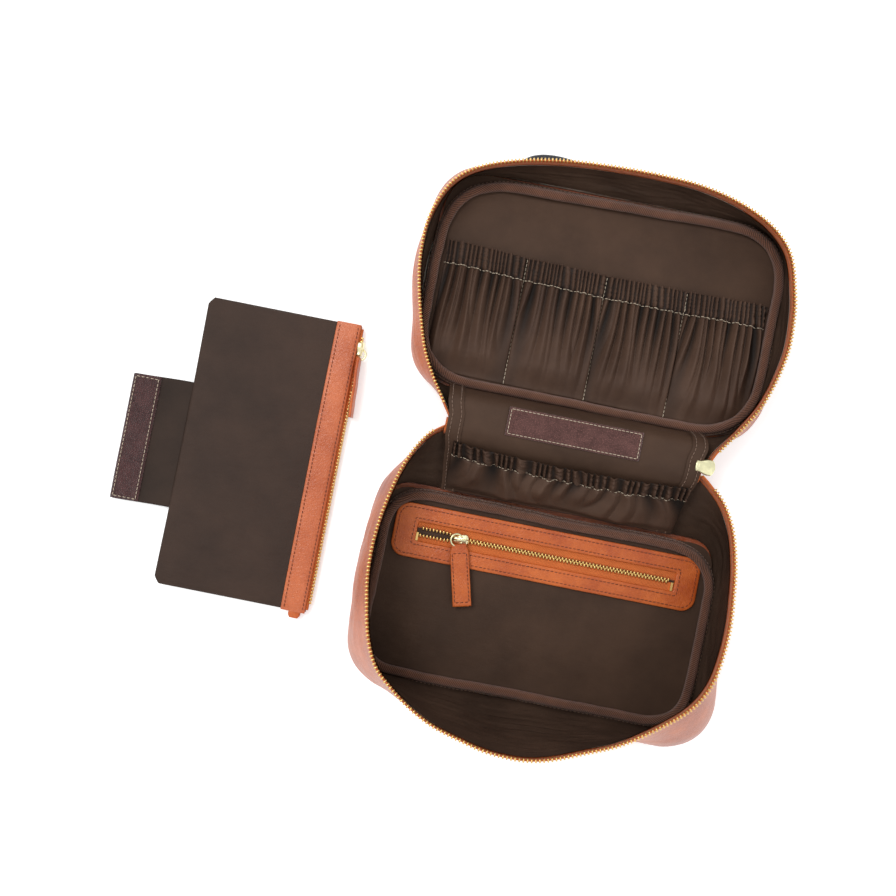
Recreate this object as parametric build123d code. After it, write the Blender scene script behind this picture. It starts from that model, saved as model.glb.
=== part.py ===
from build123d import *
import math
import os

# An open toiletry bag with its lid laid flat and its small pouch beside it, in millimetres.
# The origin is the middle of the base's underside. +Y runs to the hinge and the lid, +X to the right, +Z up.

# Base, the deep half that stands on the table
base_width = 256.0
base_depth = 146.0
base_back_y = base_depth / 2
base_corner = 5.0
base_rim_draw = 14.0
base_rim_width = base_width - base_rim_draw
base_rim_lean = 55.0
base_rim_depth = base_depth + base_rim_lean
base_rim_slope = 16.5
base_bulge = 7.0

# Lid, the shallow half that lies flat
lid_width = 264.0
lid_depth = 166.0
lid_back_y = 141.0
lid_lift = 9.0
lid_x = 3.0
lid_corner = 4.4
lid_rim_draw = 0.0
lid_rim_width = lid_width - lid_rim_draw
lid_rim_lean = 31.0
lid_rim_depth = lid_depth + lid_rim_lean
lid_bulge = 4.0

# Hinge line that both halves share
hinge_y = 116.0
hinge_z = 37.5
hinge_half = 90.0
hinge_bead_radius = 1.6
hinge_gap = 1.2
hinge_clearance = 0.3
hinge_cloth = 1.0
hinge_panel_half = 83.0
hinge_panel_reach = 23.0

# Layers of the walls, from outside in
leather = 1.6
foam = 1.6
lining = 0.8
layer_gap = 0.4
wall = leather + foam + lining + 2 * layer_gap
board = 1.5
seat_gap = 0.3

# Main zip round both rims
tooth_pitch = 2.54
tooth_length = 1.5
tooth_reach = 3.0
tooth_height = 2.6
tape_height = 5.0
tape = 0.8
tape_inset = 0.9
zip_start = 13.0
zip_end = 6.0

# Rolled binding over the seam of floor and wall
binding_width = 7.5
binding_height = 6.0
binding_gap = 3.4

# Zipped pocket under the floor lining
pocket_bag_height = 3.6
pocket_bag_wall = 0.5
binding_reach = wall + binding_gap + binding_width
frame_side_gap = 4.3
frame_back_gap = 4.55
frame_width = base_width - 2 * (binding_reach + frame_side_gap)
frame_depth = 38.5
frame_corner = 15.0
frame_y = base_back_y - binding_reach - frame_back_gap - frame_depth / 2
frame_thick = 1.6
frame_border = 12.0
window_width = frame_width - 2 * frame_border
window_depth = 14.3
pocket_tape_width = 10.0
pocket_tape = 0.6
pocket_slider_x = -62.5
pocket_tooth_reach = 2.4
pocket_tooth_height = 1.5
pocket_open_offset = 2.4

# Sliders and their pulls
slider_length = 10.5
slider_width = 9.6
slider_top = 1.1
bail_wire = 1.3
bail_height = 5.0
ring_radius = 4.0
ring_wire = 0.8
pull_length = 44.0
pull_width = 14.0
pull_thick = 2.4
loop_radius = 1.8
loop_bore = 1.3
loop_width = 3.0
loop_reach = 2.2
main_slider_length = 12.6
main_slider_width = 11.0
main_slider_thick = 4.6
main_slider_back_z = 40.0
main_slider_x = 91.5
main_slider_travel = 5.0

# Gathered pocket on the back wall and the four on the lid
back_pocket_width = 146.0
back_pocket_low = 4.0
back_pocket_high = 35.0
back_pocket_puff = 5.0
cloth = 1.0
elastic_height = 8.0
lid_pocket_width = 234.0
lid_pocket_x = 3.0
lid_pocket_low_y = 158.0
lid_pocket_high_y = 248.0
lid_pocket_puff = 9.0
lid_compartments = 4
lid_elastic_depth = 16.0

# Hook strip on the lid's back wall, which holds the pouch's loop strip
strip_length = 94.0
strip_width = 20.0
strip_thick = 1.2
side_strip_width = 9.0
side_strip_x = 79.0

# Rolled handle on the outside of the lid
handle_radius = 3.3
handle_z = 3.5
handle_span = 128.0
handle_y = 228.0
handle_reach = 91.0
handle_knuckle = 10.0
tab_width = 22.0
tab_length = 34.0
tab_thick = 1.5

# Pouch beside the bag
pouch_x = -222.0
pouch_y = 69.0
pouch_width = 114.0
pouch_length = 215.0
pouch_thick = 9.0
pouch_edge = 4.4
pouch_skin = 0.9
pouch_taper = 20.0
band_width = 18.0
band_thick = 1.2
pouch_tooth_reach = 2.6
pouch_tooth_height = 1.4
pouch_slider_y = 160.0
pouch_slider_width = 7.8
pouch_pull_z = 7.4
flap_width = 94.0
flap_reach = 44.0
flap_thick = 1.2
flap_y = 65.0
flap_gap = 0.3
flap_z = 4.5

arc_steps = 3

# Half of a rim from the right end of the hinge to the left, as shares of half the width and of the depth
base_rim_form = [
    (0.90, 0.09), (0.98, 0.25), (0.99, 0.42), (0.95, 0.60), (0.80, 0.76), (0.46, 0.90),
    (-0.03, 1.00), (-0.51, 0.95), (-0.78, 0.86), (-0.93, 0.74), (-1.00, 0.54), (-0.99, 0.32), (-0.90, 0.12),
]
lid_rim_form = [
    (0.83, 0.16), (0.96, 0.33), (1.01, 0.51), (0.98, 0.69), (0.87, 0.86), (0.47, 0.98),
    (0.00, 1.00), (-0.45, 0.97), (-0.77, 0.91), (-0.94, 0.78), (-0.99, 0.57), (-0.93, 0.36), (-0.82, 0.16),
]


# Outlines

def rounded(points):
    """The outline with its points joined by arcs, each through three of them and cut in a few even steps."""
    dense = []
    for i in range(0, len(points) - 2, 2):
        arc = Edge.make_three_point_arc(*points[i:i + 3])
        for k in range(arc_steps):
            place = arc.position_at(k / arc_steps)
            dense.append((place.X, place.Y))
    return dense + [points[-1]]


def rim_outline(form, width, depth):
    """Points of a rim as (x, distance from the hinge), with the two ends of the hinge first and last."""
    curve = [(x * width / 2, d * depth) for x, d in form]
    return rounded([(hinge_half, 0.0)] + curve + [(-hinge_half, 0.0)])


def floor_outline(width, depth, softness):
    """A rounded rectangle with as many points as a rim, its straight back edge as long as the hinge."""
    count = len(base_rim_form)
    points = [(hinge_half, 0.0)]
    for i in range(count):
        angle = math.radians(-52 + 284 * i / (count - 1))
        x = math.copysign(abs(math.cos(angle)) ** (2 / softness), math.cos(angle))
        d = math.copysign(abs(math.sin(angle)) ** (2 / softness), math.sin(angle))
        points.append((x * width / 2, (1 + d) * depth / 2))
    return rounded(points + [(-hinge_half, 0.0)])


def inset(points, amount):
    """The outline drawn in by an amount, with its straight hinge edge kept straight."""
    moved = []
    last = len(points) - 1
    for i, (x, d) in enumerate(points):
        before = points[max(i - 1, 0)]
        after = points[min(i + 1, last)]
        size = math.hypot(after[0] - before[0], after[1] - before[1])
        tx = (after[0] - before[0]) / size
        td = (after[1] - before[1]) / size
        new_x = x - td * amount
        new_d = d + tx * amount
        if i in (0, last):
            slide = (amount - tx * amount) / td
            new_x += tx * slide
            new_d += td * slide
        moved.append((new_x, new_d))
    return moved


# Places in the bag

slope = math.radians(base_rim_slope)


def on_base_floor(x, d, h):
    return Vector(x, base_back_y - d, h)


def on_base_rim(x, d, h):
    y = hinge_y - hinge_gap - d * math.cos(slope) + h * math.sin(slope)
    return Vector(x, y, hinge_z + d * math.sin(slope) + h * math.cos(slope))


def on_lid_floor(x, d, h):
    return Vector(x + lid_x, lid_back_y + d, lid_lift + h)


def on_lid_rim(x, d, h):
    return Vector(x, hinge_y + hinge_gap + d, hinge_z + h)


base_floor_line = floor_outline(base_width, base_depth, base_corner)
base_rim_line = rim_outline(base_rim_form, base_rim_width, base_rim_depth)
lid_floor_line = floor_outline(lid_width, lid_depth, lid_corner)
lid_rim_line = rim_outline(lid_rim_form, lid_rim_width, lid_rim_depth)
base_half = (base_floor_line, base_rim_line, on_base_floor, on_base_rim, base_bulge)
lid_half = (lid_floor_line, lid_rim_line, on_lid_floor, on_lid_rim, lid_bulge)


def ring_wire_of(points):
    return Wire.make_polygon(points, close=True)


def bowl(half, amount, lift):
    """The space inside one half, drawn in by an amount, from over its floor to the foot of the tape."""
    floor_line, rim_line, on_floor, on_rim, bulge = half
    low = [on_floor(x, d, lift) for x, d in inset(floor_line, amount)]
    high = [on_rim(x, d, -tape_height) for x, d in inset(rim_line, amount)]
    middle = []
    last = len(low) - 1
    for i in range(len(low)):
        before = low[max(i - 1, 0)] + high[max(i - 1, 0)]
        after = low[min(i + 1, last)] + high[min(i + 1, last)]
        along = after - before
        out = Vector(along.Y, -along.X, 0).normalized()
        centre = (low[last // 2] + low[0]) * 0.5
        point = (low[i] + high[i]) * 0.5
        if out.dot(point - centre) < 0:
            out = out * -1
        share = math.sin(math.pi * i / last)
        middle.append(point + out * (bulge * share))
    faces = [Face(ring_wire_of(low)), Face(ring_wire_of(high))]
    for first, second in ((low, middle), (middle, high)):
        for i in range(len(first)):
            j = (i + 1) % len(first)
            faces.append(Face(ring_wire_of([first[i], first[j], second[j]])))
            faces.append(Face(ring_wire_of([first[i], second[j], second[i]])))
    return Solid(Shell(faces))


def skin(half, outer, thickness, lift, floor_thick=0.0):
    """One layer of the walls, with a floor of its own where a floor thickness is given."""
    return bowl(half, outer, lift) - bowl(half, outer + thickness, lift + floor_thick)


def floor_plate(half, amount, low, high):
    """A flat sheet cut to the floor's outline."""
    floor_line, rim_line, on_floor, on_rim, bulge = half
    points = [on_floor(x, d, low) for x, d in inset(floor_line, amount)]
    return extrude(Face(ring_wire_of(points)), high - low, dir=(0, 0, 1))


def tape_band(half):
    """The zip's tape, which stands on the leather's edge under the teeth, all round but the hinge."""
    floor_line, rim_line, on_floor, on_rim, bulge = half
    outer = [on_rim(x, d, -tape_height) for x, d in inset(rim_line, tape_inset - tape / 2)]
    inner = [on_rim(x, d, -tape_height) for x, d in inset(rim_line, tape_inset + tape / 2)]
    up = on_rim(0, 0, 1) - on_rim(0, 0, 0)
    band = extrude(Face(ring_wire_of(outer + inner[::-1])), tape_height - tooth_height, dir=up)
    return band - slider_room()


def slider_room():
    """The space round the main slider that both rims leave free at the right end of the hinge."""
    length = main_slider_length + main_slider_travel + 6
    reach = hinge_clearance + math.hypot(main_slider_width / 2 + 1.5, main_slider_thick + 1.5)
    room = Cylinder(reach, length, rotation=(0, 90, 0))
    return Pos(main_slider_x + main_slider_travel / 2, hinge_y, hinge_z) * room


def tooth_bar(length, reach, height):
    """A tooth as a short bar along Y that narrows to its top."""
    section = Plane.XZ * Polygon((-length / 2, 0), (length / 2, 0), (0, height), align=None)
    return extrude(section, reach / 2, both=True)


def rim_teeth(half):
    """A row of teeth on the tape's edge, square to the rim, with their tops level with it."""
    floor_line, rim_line, on_floor, on_rim, bulge = half
    line = [on_rim(x, d, -tooth_height) for x, d in inset(rim_line, tape_inset)]
    path = Wire.make_polygon(line, close=False)
    up = on_rim(0, 0, 1) - on_rim(0, 0, 0)
    count = int((path.length - zip_start - zip_end) / tooth_pitch)
    tooth = tooth_bar(tooth_length, tooth_reach, tooth_height)
    teeth = []
    for i in range(count):
        share = (zip_start + i * tooth_pitch) / path.length
        place = Plane(path.position_at(share), x_dir=path.tangent_at(share), z_dir=up)
        teeth.append(place * tooth)
    return Compound(teeth)


# Base

floor_top = leather + seat_gap + board + seat_gap + pocket_bag_height + seat_gap + lining
board_low = leather + seat_gap
bag_low = board_low + board + seat_gap
floor_low = bag_low + pocket_bag_height + seat_gap
tape_low = floor_top + 0.1
frame_low = tape_low + pocket_tape
plate_inset = wall + 2.6


def slab(width, depth, height, corner):
    """A flat block with rounded corners, standing on z 0."""
    return extrude(RectangleRounded(width, depth, corner), height)


def base_leather_shell():
    return skin(base_half, 0, leather, 0, leather) - slider_room()


def base_foam():
    return skin(base_half, leather + layer_gap, foam, board_low) - slider_room()


def base_lining():
    return skin(base_half, leather + foam + 2 * layer_gap, lining, board_low) - slider_room()


def base_board():
    return floor_plate(base_half, plate_inset, board_low, board_low + board)


def pocket_bag():
    """The flat cloth bag under the floor lining, open along the zip."""
    width = base_width - 30
    depth = base_depth - 30
    outer = slab(width, depth, pocket_bag_height, 12)
    hollow = slab(width - 2, depth - 2, pocket_bag_height - 2 * pocket_bag_wall, 11)
    mouth = Box(window_width, window_depth, pocket_bag_height)
    bag = outer - Pos(0, 0, pocket_bag_wall) * hollow - Pos(0, frame_y, pocket_bag_height) * mouth
    return Pos(0, 0, bag_low) * bag


def floor_lining():
    sheet = floor_plate(base_half, plate_inset, floor_low, floor_low + lining)
    return sheet - Pos(0, frame_y, floor_low) * Box(window_width, window_depth, 10)


def binding(half, low):
    """A rolled strip all round a floor, with its upper edges bevelled."""
    start = binding_reach - binding_width
    ring = floor_plate(half, start, low, low + binding_height)
    ring -= floor_plate(half, start + binding_width, low, low + binding_height)
    bevel = binding_width * 0.3
    for amount, lift in ((start, 0), (start + binding_width - bevel, 1)):
        trim = floor_plate(half, amount, low + binding_height - bevel, low + binding_height)
        trim -= floor_plate(half, amount + bevel, low + binding_height - bevel, low + binding_height)
        ring -= trim
    return ring


def inside_binding(half, amount, low):
    """The space inside a rolled binding, an amount clear of it, from a height over the half's underside."""
    return floor_plate(half, binding_reach + amount, low - 1, low + 20)


def floor_binding():
    return binding(base_half, floor_top + 0.1)


def pocket_frame():
    outer = slab(frame_width, frame_depth, frame_thick, frame_corner)
    outer = chamfer(outer.faces().sort_by(Axis.Z)[-1].edges(), 0.4)
    window = Box(window_width, window_depth, 3 * frame_thick)
    return Pos(0, frame_y, frame_low) * (outer - window)


def pocket_zip_tapes():
    """Two tapes under the frame that meet at the teeth."""
    tapes = []
    gap = 2 * pocket_open_offset
    for side in (-1, 1):
        strip = Box(frame_width - 16, pocket_tape_width, pocket_tape,
                    align=(Align.CENTER, Align.CENTER, Align.MIN))
        y = frame_y + side * (gap / 2 + pocket_tape_width / 2 - 1)
        tapes.append(Pos(0, y, tape_low) * strip)
    return Compound(tapes)


def pocket_zip_teeth():
    """Two rows, which stand apart to the left of the slider and mesh to its right."""
    teeth = []
    left = -window_width / 2 + 4
    count = int((window_width - 8) / tooth_pitch)
    height = tape_low + pocket_tape
    bar = tooth_bar(tooth_length * 0.75, pocket_tooth_reach, pocket_tooth_height)
    for i in range(count):
        for side in (-1, 1):
            x = left + (i + (side + 1) / 4) * tooth_pitch
            spread = min(max((pocket_slider_x - x) / 14, 0), 1)
            offset = side * (0.7 + (pocket_open_offset - 0.7) * spread)
            teeth.append(Pos(x, frame_y + offset, height + 0.02) * bar)
    return Compound(teeth)


def pocket_zip_stops():
    """A bent metal stop past each end of the teeth."""
    stops = []
    for x in (-window_width / 2 + 1.4, window_width / 2 - 1.4):
        stop = Box(1.6, 6, pocket_tooth_height, align=(Align.CENTER, Align.CENTER, Align.MIN))
        stops.append(Pos(x, frame_y, tape_low + pocket_tape) * stop)
    return Compound(stops)


# Back wall of the base, a plane that leans out from the floor to the hinge

def wall_frame(foot, head):
    """A plane on a back wall, with local x along the hinge, local y up the wall and local z into the bag."""
    run = head - foot
    normal = Vector(0, -run.Z, run.Y)
    if normal.Z < 0:
        normal = normal * -1
    across = Vector(1, 0, 0) if run.cross(normal).X > 0 else Vector(-1, 0, 0)
    return Plane(foot, x_dir=across, z_dir=normal)


def half_wall(half, lift):
    """The inner face of a back wall, and its length from the lift to the foot of the tape."""
    floor_line, rim_line, on_floor, on_rim, bulge = half
    low = on_floor(0, wall, board_low)
    high = on_rim(0, wall, -tape_height)
    run = high - low
    start = low + run * ((lift - low.Z + on_floor(0, 0, 0).Z) / run.Z)
    return wall_frame(start, high), (high - start).length


base_wall, base_wall_length = half_wall(base_half, floor_top + binding_height)
lid_floor_top = leather + seat_gap + board + seat_gap + lining
lid_wall, lid_wall_length = half_wall(lid_half, lid_floor_top + binding_height)
skin_gap = 0.3


def centred_box(width, height, thick):
    return Box(width, height, thick, align=(Align.CENTER, Align.MIN, Align.MIN))


def back_panel_base():
    """The cloth panel over the base's back wall."""
    sheet = centred_box(2 * hinge_panel_half, base_wall_length - 1, lining)
    return base_wall * Pos(0, 0, skin_gap) * sheet


def pocket_shell(width, low, high, puff):
    """A hollow pocket, open at its top edge, that stands off the wall by its puff at the mouth."""
    with BuildSketch(Plane.YZ) as side:
        with BuildLine():
            Polyline((low, 0), (high, 0), (high, puff), (low + 0.45 * (high - low), puff * 1.1),
                     (low, 2 * cloth), close=True)
        make_face()
    outer = extrude(side.sketch, width / 2, both=True)
    with BuildSketch(Plane.YZ) as room:
        with BuildLine():
            Polyline((low + 2 * cloth, cloth * 0.6), (high + 1, cloth * 0.6), (high + 1, puff - cloth),
                     (low + 0.45 * (high - low), puff * 1.1 - cloth), (low + 2 * cloth, 1.6 * cloth),
                     close=True)
        make_face()
    return outer, room.sketch


def back_pocket():
    outer, room = pocket_shell(back_pocket_width, 0, back_pocket_high - back_pocket_low, back_pocket_puff)
    hollow = extrude(room, back_pocket_width / 2 - cloth, both=True)
    return base_wall * Pos(0, back_pocket_low - 3.5, 2 * skin_gap + lining) * (outer - hollow)


def side_strips():
    """Two doubled strips that close the ends of the back wall's panel."""
    strips = []
    for side in (-1, 1):
        strip = centred_box(side_strip_width, base_wall_length - 2, 0.9)
        strips.append(base_wall * Pos(side * side_strip_x, 0.5, 2 * skin_gap + lining) * strip)
    return Compound(strips)


def across(points, low_x, high_x):
    """A solid with a side outline given as (y, z), from one x to another."""
    wire = Wire.make_polygon([(low_x, y, z) for y, z in points])
    return extrude(Face(wire), high_x - low_x, dir=(1, 0, 0))


def hinge_panel_base():
    """The base's edge of the hinge cloth, folded into a bead on the hinge line."""
    right = main_slider_x - main_slider_length / 2 - seat_gap
    roll = Cylinder(hinge_bead_radius, hinge_panel_half + right, rotation=(0, 90, 0))
    roll = Pos((right - hinge_panel_half) / 2, hinge_y, hinge_z) * roll
    foot = on_base_rim(0, wall / 2, -tape_height + seat_gap)
    top = hinge_z - hinge_bead_radius * 0.5
    outline = [
        (hinge_y - 0.5, top), (hinge_y - 0.5, top - hinge_cloth), (foot.Y + hinge_cloth, top - hinge_cloth),
        (foot.Y + hinge_cloth, foot.Z + hinge_cloth / 2), (foot.Y, foot.Z), (foot.Y - 1, top),
    ]
    return roll + across(outline, -hinge_panel_half, hinge_panel_half)


def hinge_panel_lid():
    """The lid's edge of the hinge cloth, which lies flat beside the bead and carries the hook strip."""
    start = hinge_y + hinge_bead_radius + hinge_clearance
    end = hinge_y + hinge_panel_reach
    foot = on_lid_rim(0, wall / 2, -tape_height + seat_gap)
    low = hinge_z - hinge_cloth
    outline = [
        (start, hinge_z), (end, hinge_z), (end, low), (foot.Y + hinge_cloth, low),
        (foot.Y + hinge_cloth, foot.Z), (foot.Y, foot.Z), (foot.Y, low), (start, low),
    ]
    return across(outline, -hinge_panel_half, hinge_panel_half)


# Lid

def lid_leather_shell():
    return skin(lid_half, 0, leather, 0, leather) - slider_room()


def lid_foam():
    return skin(lid_half, leather + layer_gap, foam, board_low) - slider_room()


def lid_lining():
    return skin(lid_half, leather + foam + 2 * layer_gap, lining, board_low) - slider_room()


def lid_board():
    return floor_plate(lid_half, plate_inset, board_low, board_low + board)


def lid_panel_lining():
    low = board_low + board + seat_gap
    return floor_plate(lid_half, plate_inset, low, low + lining)


def lid_binding():
    return binding(lid_half, lid_floor_top + 0.1)


def back_panel_lid():
    sheet = centred_box(2 * hinge_panel_half, lid_wall_length - 1, lining)
    return lid_wall * Pos(0, 0, skin_gap) * sheet - slider_room()


def hook_strip():
    """The stiff half of the touch fastener, on the lid's edge of the hinge cloth."""
    strip = Box(strip_length, strip_width, strip_thick, align=(Align.CENTER, Align.MAX, Align.MIN))
    return Pos(-1.5, hinge_y + hinge_panel_reach - 1, hinge_z + 0.1) * strip


def lid_pocket():
    """Four gathered pockets in one cloth, open towards the lid's far edge."""
    length = lid_pocket_high_y - lid_pocket_low_y
    outer, room = pocket_shell(lid_pocket_width, 0, length, lid_pocket_puff)
    each = lid_pocket_width / lid_compartments
    rooms = []
    for i in range(lid_compartments):
        x = (i + 0.5) * each - lid_pocket_width / 2
        rooms.append(Pos(x, 0, 0) * extrude(room, each / 2 - cloth, both=True))
    low = lid_floor_top + seat_gap
    place = Pos(lid_pocket_x, lid_pocket_low_y, lid_lift + low)
    limit = inside_binding(lid_half, seat_gap, low)
    hollow = inside_binding(lid_half, seat_gap + cloth, low)
    return (place * outer & limit) - (place * Compound(rooms) & hollow)


def lid_pocket_elastic():
    """The casing with its elastic along the pockets' mouths."""
    low = lid_floor_top + seat_gap + lid_pocket_puff * 1.1 + seat_gap
    strip = Box(lid_pocket_width, lid_elastic_depth, 1.0, align=(Align.CENTER, Align.MAX, Align.MIN))
    strip = Pos(lid_pocket_x, lid_pocket_high_y, lid_lift + low) * strip
    return strip & inside_binding(lid_half, seat_gap, low)


def back_pocket_elastic():
    strip = Box(back_pocket_width, elastic_height, 1.0, align=(Align.CENTER, Align.MAX, Align.MIN))
    rise = 2 * skin_gap + lining + back_pocket_puff * 1.1 + seat_gap
    return base_wall * Pos(0, back_pocket_high - 3.5 - 0.5, rise) * strip


# Handle on the lid's outside

def handle_path():
    """The handle's line, flopped over towards the lid's far edge."""
    half = handle_span / 2
    far = handle_y + handle_reach
    points = [
        (-half, handle_y), (-half - 12, handle_y + 50), (-half + 2, far), (-10, far - 4),
        (half - 16, handle_y + 56), (half, handle_y),
    ]
    radii = [60, 22, 40, 60]
    return FilletPolyline(*[(x, y, handle_z) for x, y in points], radius=radii)


def carry_handle():
    """A rolled cord of leather with a knuckle at each end, which turns under its tab."""
    path = handle_path()
    plane = Plane(path @ 0, z_dir=path % 0)
    grip = sweep(plane * RegularPolygon(handle_radius, 8), path=path)
    for side in (-1, 1):
        knuckle = Cylinder(handle_radius, handle_knuckle, rotation=(0, 90, 0))
        grip += Pos(side * handle_span / 2, handle_y, handle_z) * knuckle
    return grip


def handle_tabs():
    """Two leather tabs sewn to the lid's top, each with a loop round an end of the handle."""
    tabs = []
    for side in (-1, 1):
        patch = slab(tab_width, tab_length, tab_thick, 5)
        z = lid_lift - seat_gap - tab_thick
        tabs.append(Pos(side * handle_span / 2, handle_y - tab_length / 2 + handle_radius, z) * patch)
    return Compound(tabs)


# Sliders and pulls

def slider_body(length, width, channel, depth):
    """A slider cut as a bridge over the teeth, narrow at its rear, with a bail on top."""
    with BuildSketch() as plan:
        with BuildLine():
            Polyline((-length / 2, width * 0.36), (0, width / 2), (length / 2, width / 2),
                     (length / 2, -width / 2), (0, -width / 2), (-length / 2, -width * 0.36), close=True)
        make_face()
        fillet(plan.vertices(), 1.0)
    block = extrude(plan.sketch, depth + slider_top)
    under = Box(2 * length, channel, depth, align=(Align.CENTER, Align.CENTER, Align.MIN))
    shell = block - under
    return chamfer(shell.faces().sort_by(Axis.Z)[-1].edges(), 0.3)


def bail():
    """The small arch on a slider's back that its ring hangs in."""
    arch = Box(6.0, bail_wire, bail_height, align=(Align.CENTER, Align.CENTER, Align.MIN))
    hole = Box(3.4, 3 * bail_wire, bail_height - bail_wire, align=(Align.CENTER, Align.CENTER, Align.MIN))
    return arch - hole


def pull_ring():
    """A wire ring, flat on the ground plane round its own middle."""
    wire = Plane.XZ * Pos(ring_radius, 0) * RegularPolygon(ring_wire, 6)
    return revolve(wire, Axis.Z)


def pull_tab(loop_x=0.0):
    """A strap that hangs down -Y from a loop round the ring's wire, which runs along X through the origin."""
    start = -loop_reach
    with BuildSketch() as plan:
        with BuildLine():
            Polyline((-pull_width * 0.38, start), (pull_width * 0.38, start), (pull_width / 2, start - 5),
                     (pull_width / 2, -pull_length), (-pull_width / 2, -pull_length),
                     (-pull_width / 2, start - 5), close=True)
        make_face()
    strap = Pos(-loop_x, 0, -pull_thick / 2) * extrude(plan.sketch, pull_thick)
    neck = Box(loop_width, loop_reach + 1, pull_thick, align=(Align.CENTER, Align.MAX, Align.CENTER))
    loop = Cylinder(loop_radius, loop_width, rotation=(0, 90, 0))
    bore = Cylinder(loop_bore, 2 * loop_width, rotation=(0, 90, 0))
    return strap + neck + loop - bore


pocket_channel = 2 * (pocket_open_offset + pocket_tooth_reach / 2) + 0.4
pocket_deck = tape_low + pocket_tape + 0.25
pocket_slider_depth = pocket_tooth_height + 0.1
pocket_cover = pocket_deck + pocket_slider_depth + slider_top
pocket_ring_x = pocket_slider_x - ring_radius
pocket_ring_z = pocket_cover + (bail_height - bail_wire) / 2


def pocket_slider():
    body = slider_body(slider_length, slider_width, pocket_channel, pocket_slider_depth)
    hoop = Pos(0, 0, pocket_slider_depth + slider_top) * bail()
    return Pos(pocket_slider_x, frame_y, pocket_deck) * (body + hoop)


def pocket_pull_ring():
    return Pos(pocket_ring_x, frame_y, pocket_ring_z) * pull_ring()


def pocket_pull_tab():
    return Pos(pocket_ring_x, frame_y - ring_radius, pocket_ring_z) * pull_tab()


main_slider_low = main_slider_back_z - main_slider_thick
main_ring_z = main_slider_low - (bail_height - bail_wire) / 2 - ring_radius
main_pull_drop = 31.0


def main_slider():
    """The main slider seen from its flat back, broad end to the right, with its bail underneath."""
    length = main_slider_length
    width = main_slider_width
    with BuildSketch() as plan:
        with BuildLine():
            Polyline((-length / 2, width * 0.36), (0.5, width / 2), (length / 2 - 1, width * 0.46),
                     (length / 2, width * 0.2), (length / 2, -width * 0.2), (length / 2 - 1, -width * 0.46),
                     (0.5, -width / 2), (-length / 2, -width * 0.36), close=True)
        make_face()
        fillet(plan.vertices(), 0.8)
    block = extrude(plan.sketch, main_slider_thick)
    slot = Pos(length / 4, 0, main_slider_thick / 2) * Box(length / 2 + 2, 2 * width, 1.8)
    return Pos(main_slider_x, hinge_y, main_slider_low) * (block - slot + Rot(180, 0, 0) * bail())


def main_pull_ring():
    return Pos(main_slider_x, hinge_y, main_ring_z) * Rot(0, 90, 0) * pull_ring()


def main_pull_tab():
    """The main pull, which slants down to the table under the hinge."""
    slanted = Rot(0, -main_pull_drop, 0) * Rot(0, 0, -90) * pull_tab()
    return Pos(main_slider_x, hinge_y, main_ring_z - ring_radius) * slanted


# Pouch

pouch_mid_z = pouch_thick / 2
pouch_right = pouch_x + pouch_width / 2
pouch_left = pouch_x - pouch_width / 2
pouch_skin_right = pouch_right - pouch_tooth_reach - 1.6


def pouch_section(inset_by, left, right):
    """The pouch's section across its width, thin at both edges."""
    edge = pouch_edge / 2 - inset_by
    flat = pouch_mid_z - inset_by
    points = [
        (left, -edge), (left + pouch_taper, -flat), (right - pouch_taper, -flat), (right, -edge),
        (right, edge), (right - pouch_taper, flat), (left + pouch_taper, flat), (left, edge),
    ]
    return Wire.make_polygon([(x, 0, z + pouch_mid_z) for x, z in points])


def pouch_block(inset_by, left, right, length):
    block = extrude(Face(pouch_section(inset_by, left, right)), length, dir=(0, 1, 0))
    return Pos(0, pouch_y - length / 2, 0) * block


def pouch_bag():
    """The pouch's cloth, hollow and open along its right edge."""
    outer = pouch_block(0, pouch_left, pouch_skin_right, pouch_length)
    hollow = pouch_block(pouch_skin, pouch_left + 2 * pouch_skin, pouch_skin_right + 5,
                         pouch_length - 4 * pouch_skin)
    return outer - hollow


def pouch_band(side):
    """A leather band on one face of the pouch along its zip, from the crown of the face to the edge."""
    left = pouch_skin_right - band_width
    rise = (pouch_mid_z - pouch_edge / 2) / pouch_taper
    start = pouch_mid_z - rise * (left - (pouch_skin_right - pouch_taper))
    end = pouch_edge / 2
    points = [(left, start + 0.1), (pouch_skin_right, end + 0.1), (pouch_skin_right, end + 0.1 + band_thick),
              (left, start + 0.1 + band_thick)]
    wire = Wire.make_polygon([(x, 0, pouch_mid_z + side * z) for x, z in points])
    band = extrude(Face(wire), pouch_length, dir=(0, 1, 0))
    return Pos(0, pouch_y - pouch_length / 2, 0) * band


def pouch_band_top():
    return pouch_band(1)


def pouch_band_back():
    return pouch_band(-1)


def pouch_zip_tapes():
    """Two tapes inside the pouch's mouth that carry the teeth past its edge."""
    tapes = []
    for side in (-1, 1):
        height = pouch_edge / 2 - pouch_skin - 0.3
        strip = Box(8, pouch_length - 8, 0.6)
        x = pouch_right - pouch_tooth_reach - 4
        tapes.append(Pos(x, pouch_y, pouch_mid_z + side * (height - 0.3)) * strip)
    return Compound(tapes)


def pouch_zip_teeth():
    """Two meshed rows on the edges of the tapes, one over the other."""
    teeth = []
    count = int((pouch_length - 12) / tooth_pitch)
    start = pouch_y - (count - 0.5) * tooth_pitch / 2
    bar = tooth_bar(tooth_length * 0.75, pouch_tooth_reach, pouch_tooth_height)
    for i in range(count):
        for side in (-1, 1):
            y = start + (i + (side + 1) / 4) * tooth_pitch
            z = pouch_mid_z + side * 0.05
            flip = Rot(0, 0, 90) if side > 0 else Rot(180, 0, 90)
            teeth.append(Pos(pouch_right - pouch_tooth_reach / 2 + 0.02, y, z) * flip * bar)
    return Compound(teeth)


def pouch_zip_end_tab():
    """A leather scrap folded over the lower end of the zip."""
    tab = Box(9, 5, pouch_edge + 2 * band_thick + 1)
    return Pos(pouch_right - 7.5, pouch_y - pouch_length / 2 - 2.6, pouch_mid_z) * tab


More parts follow.
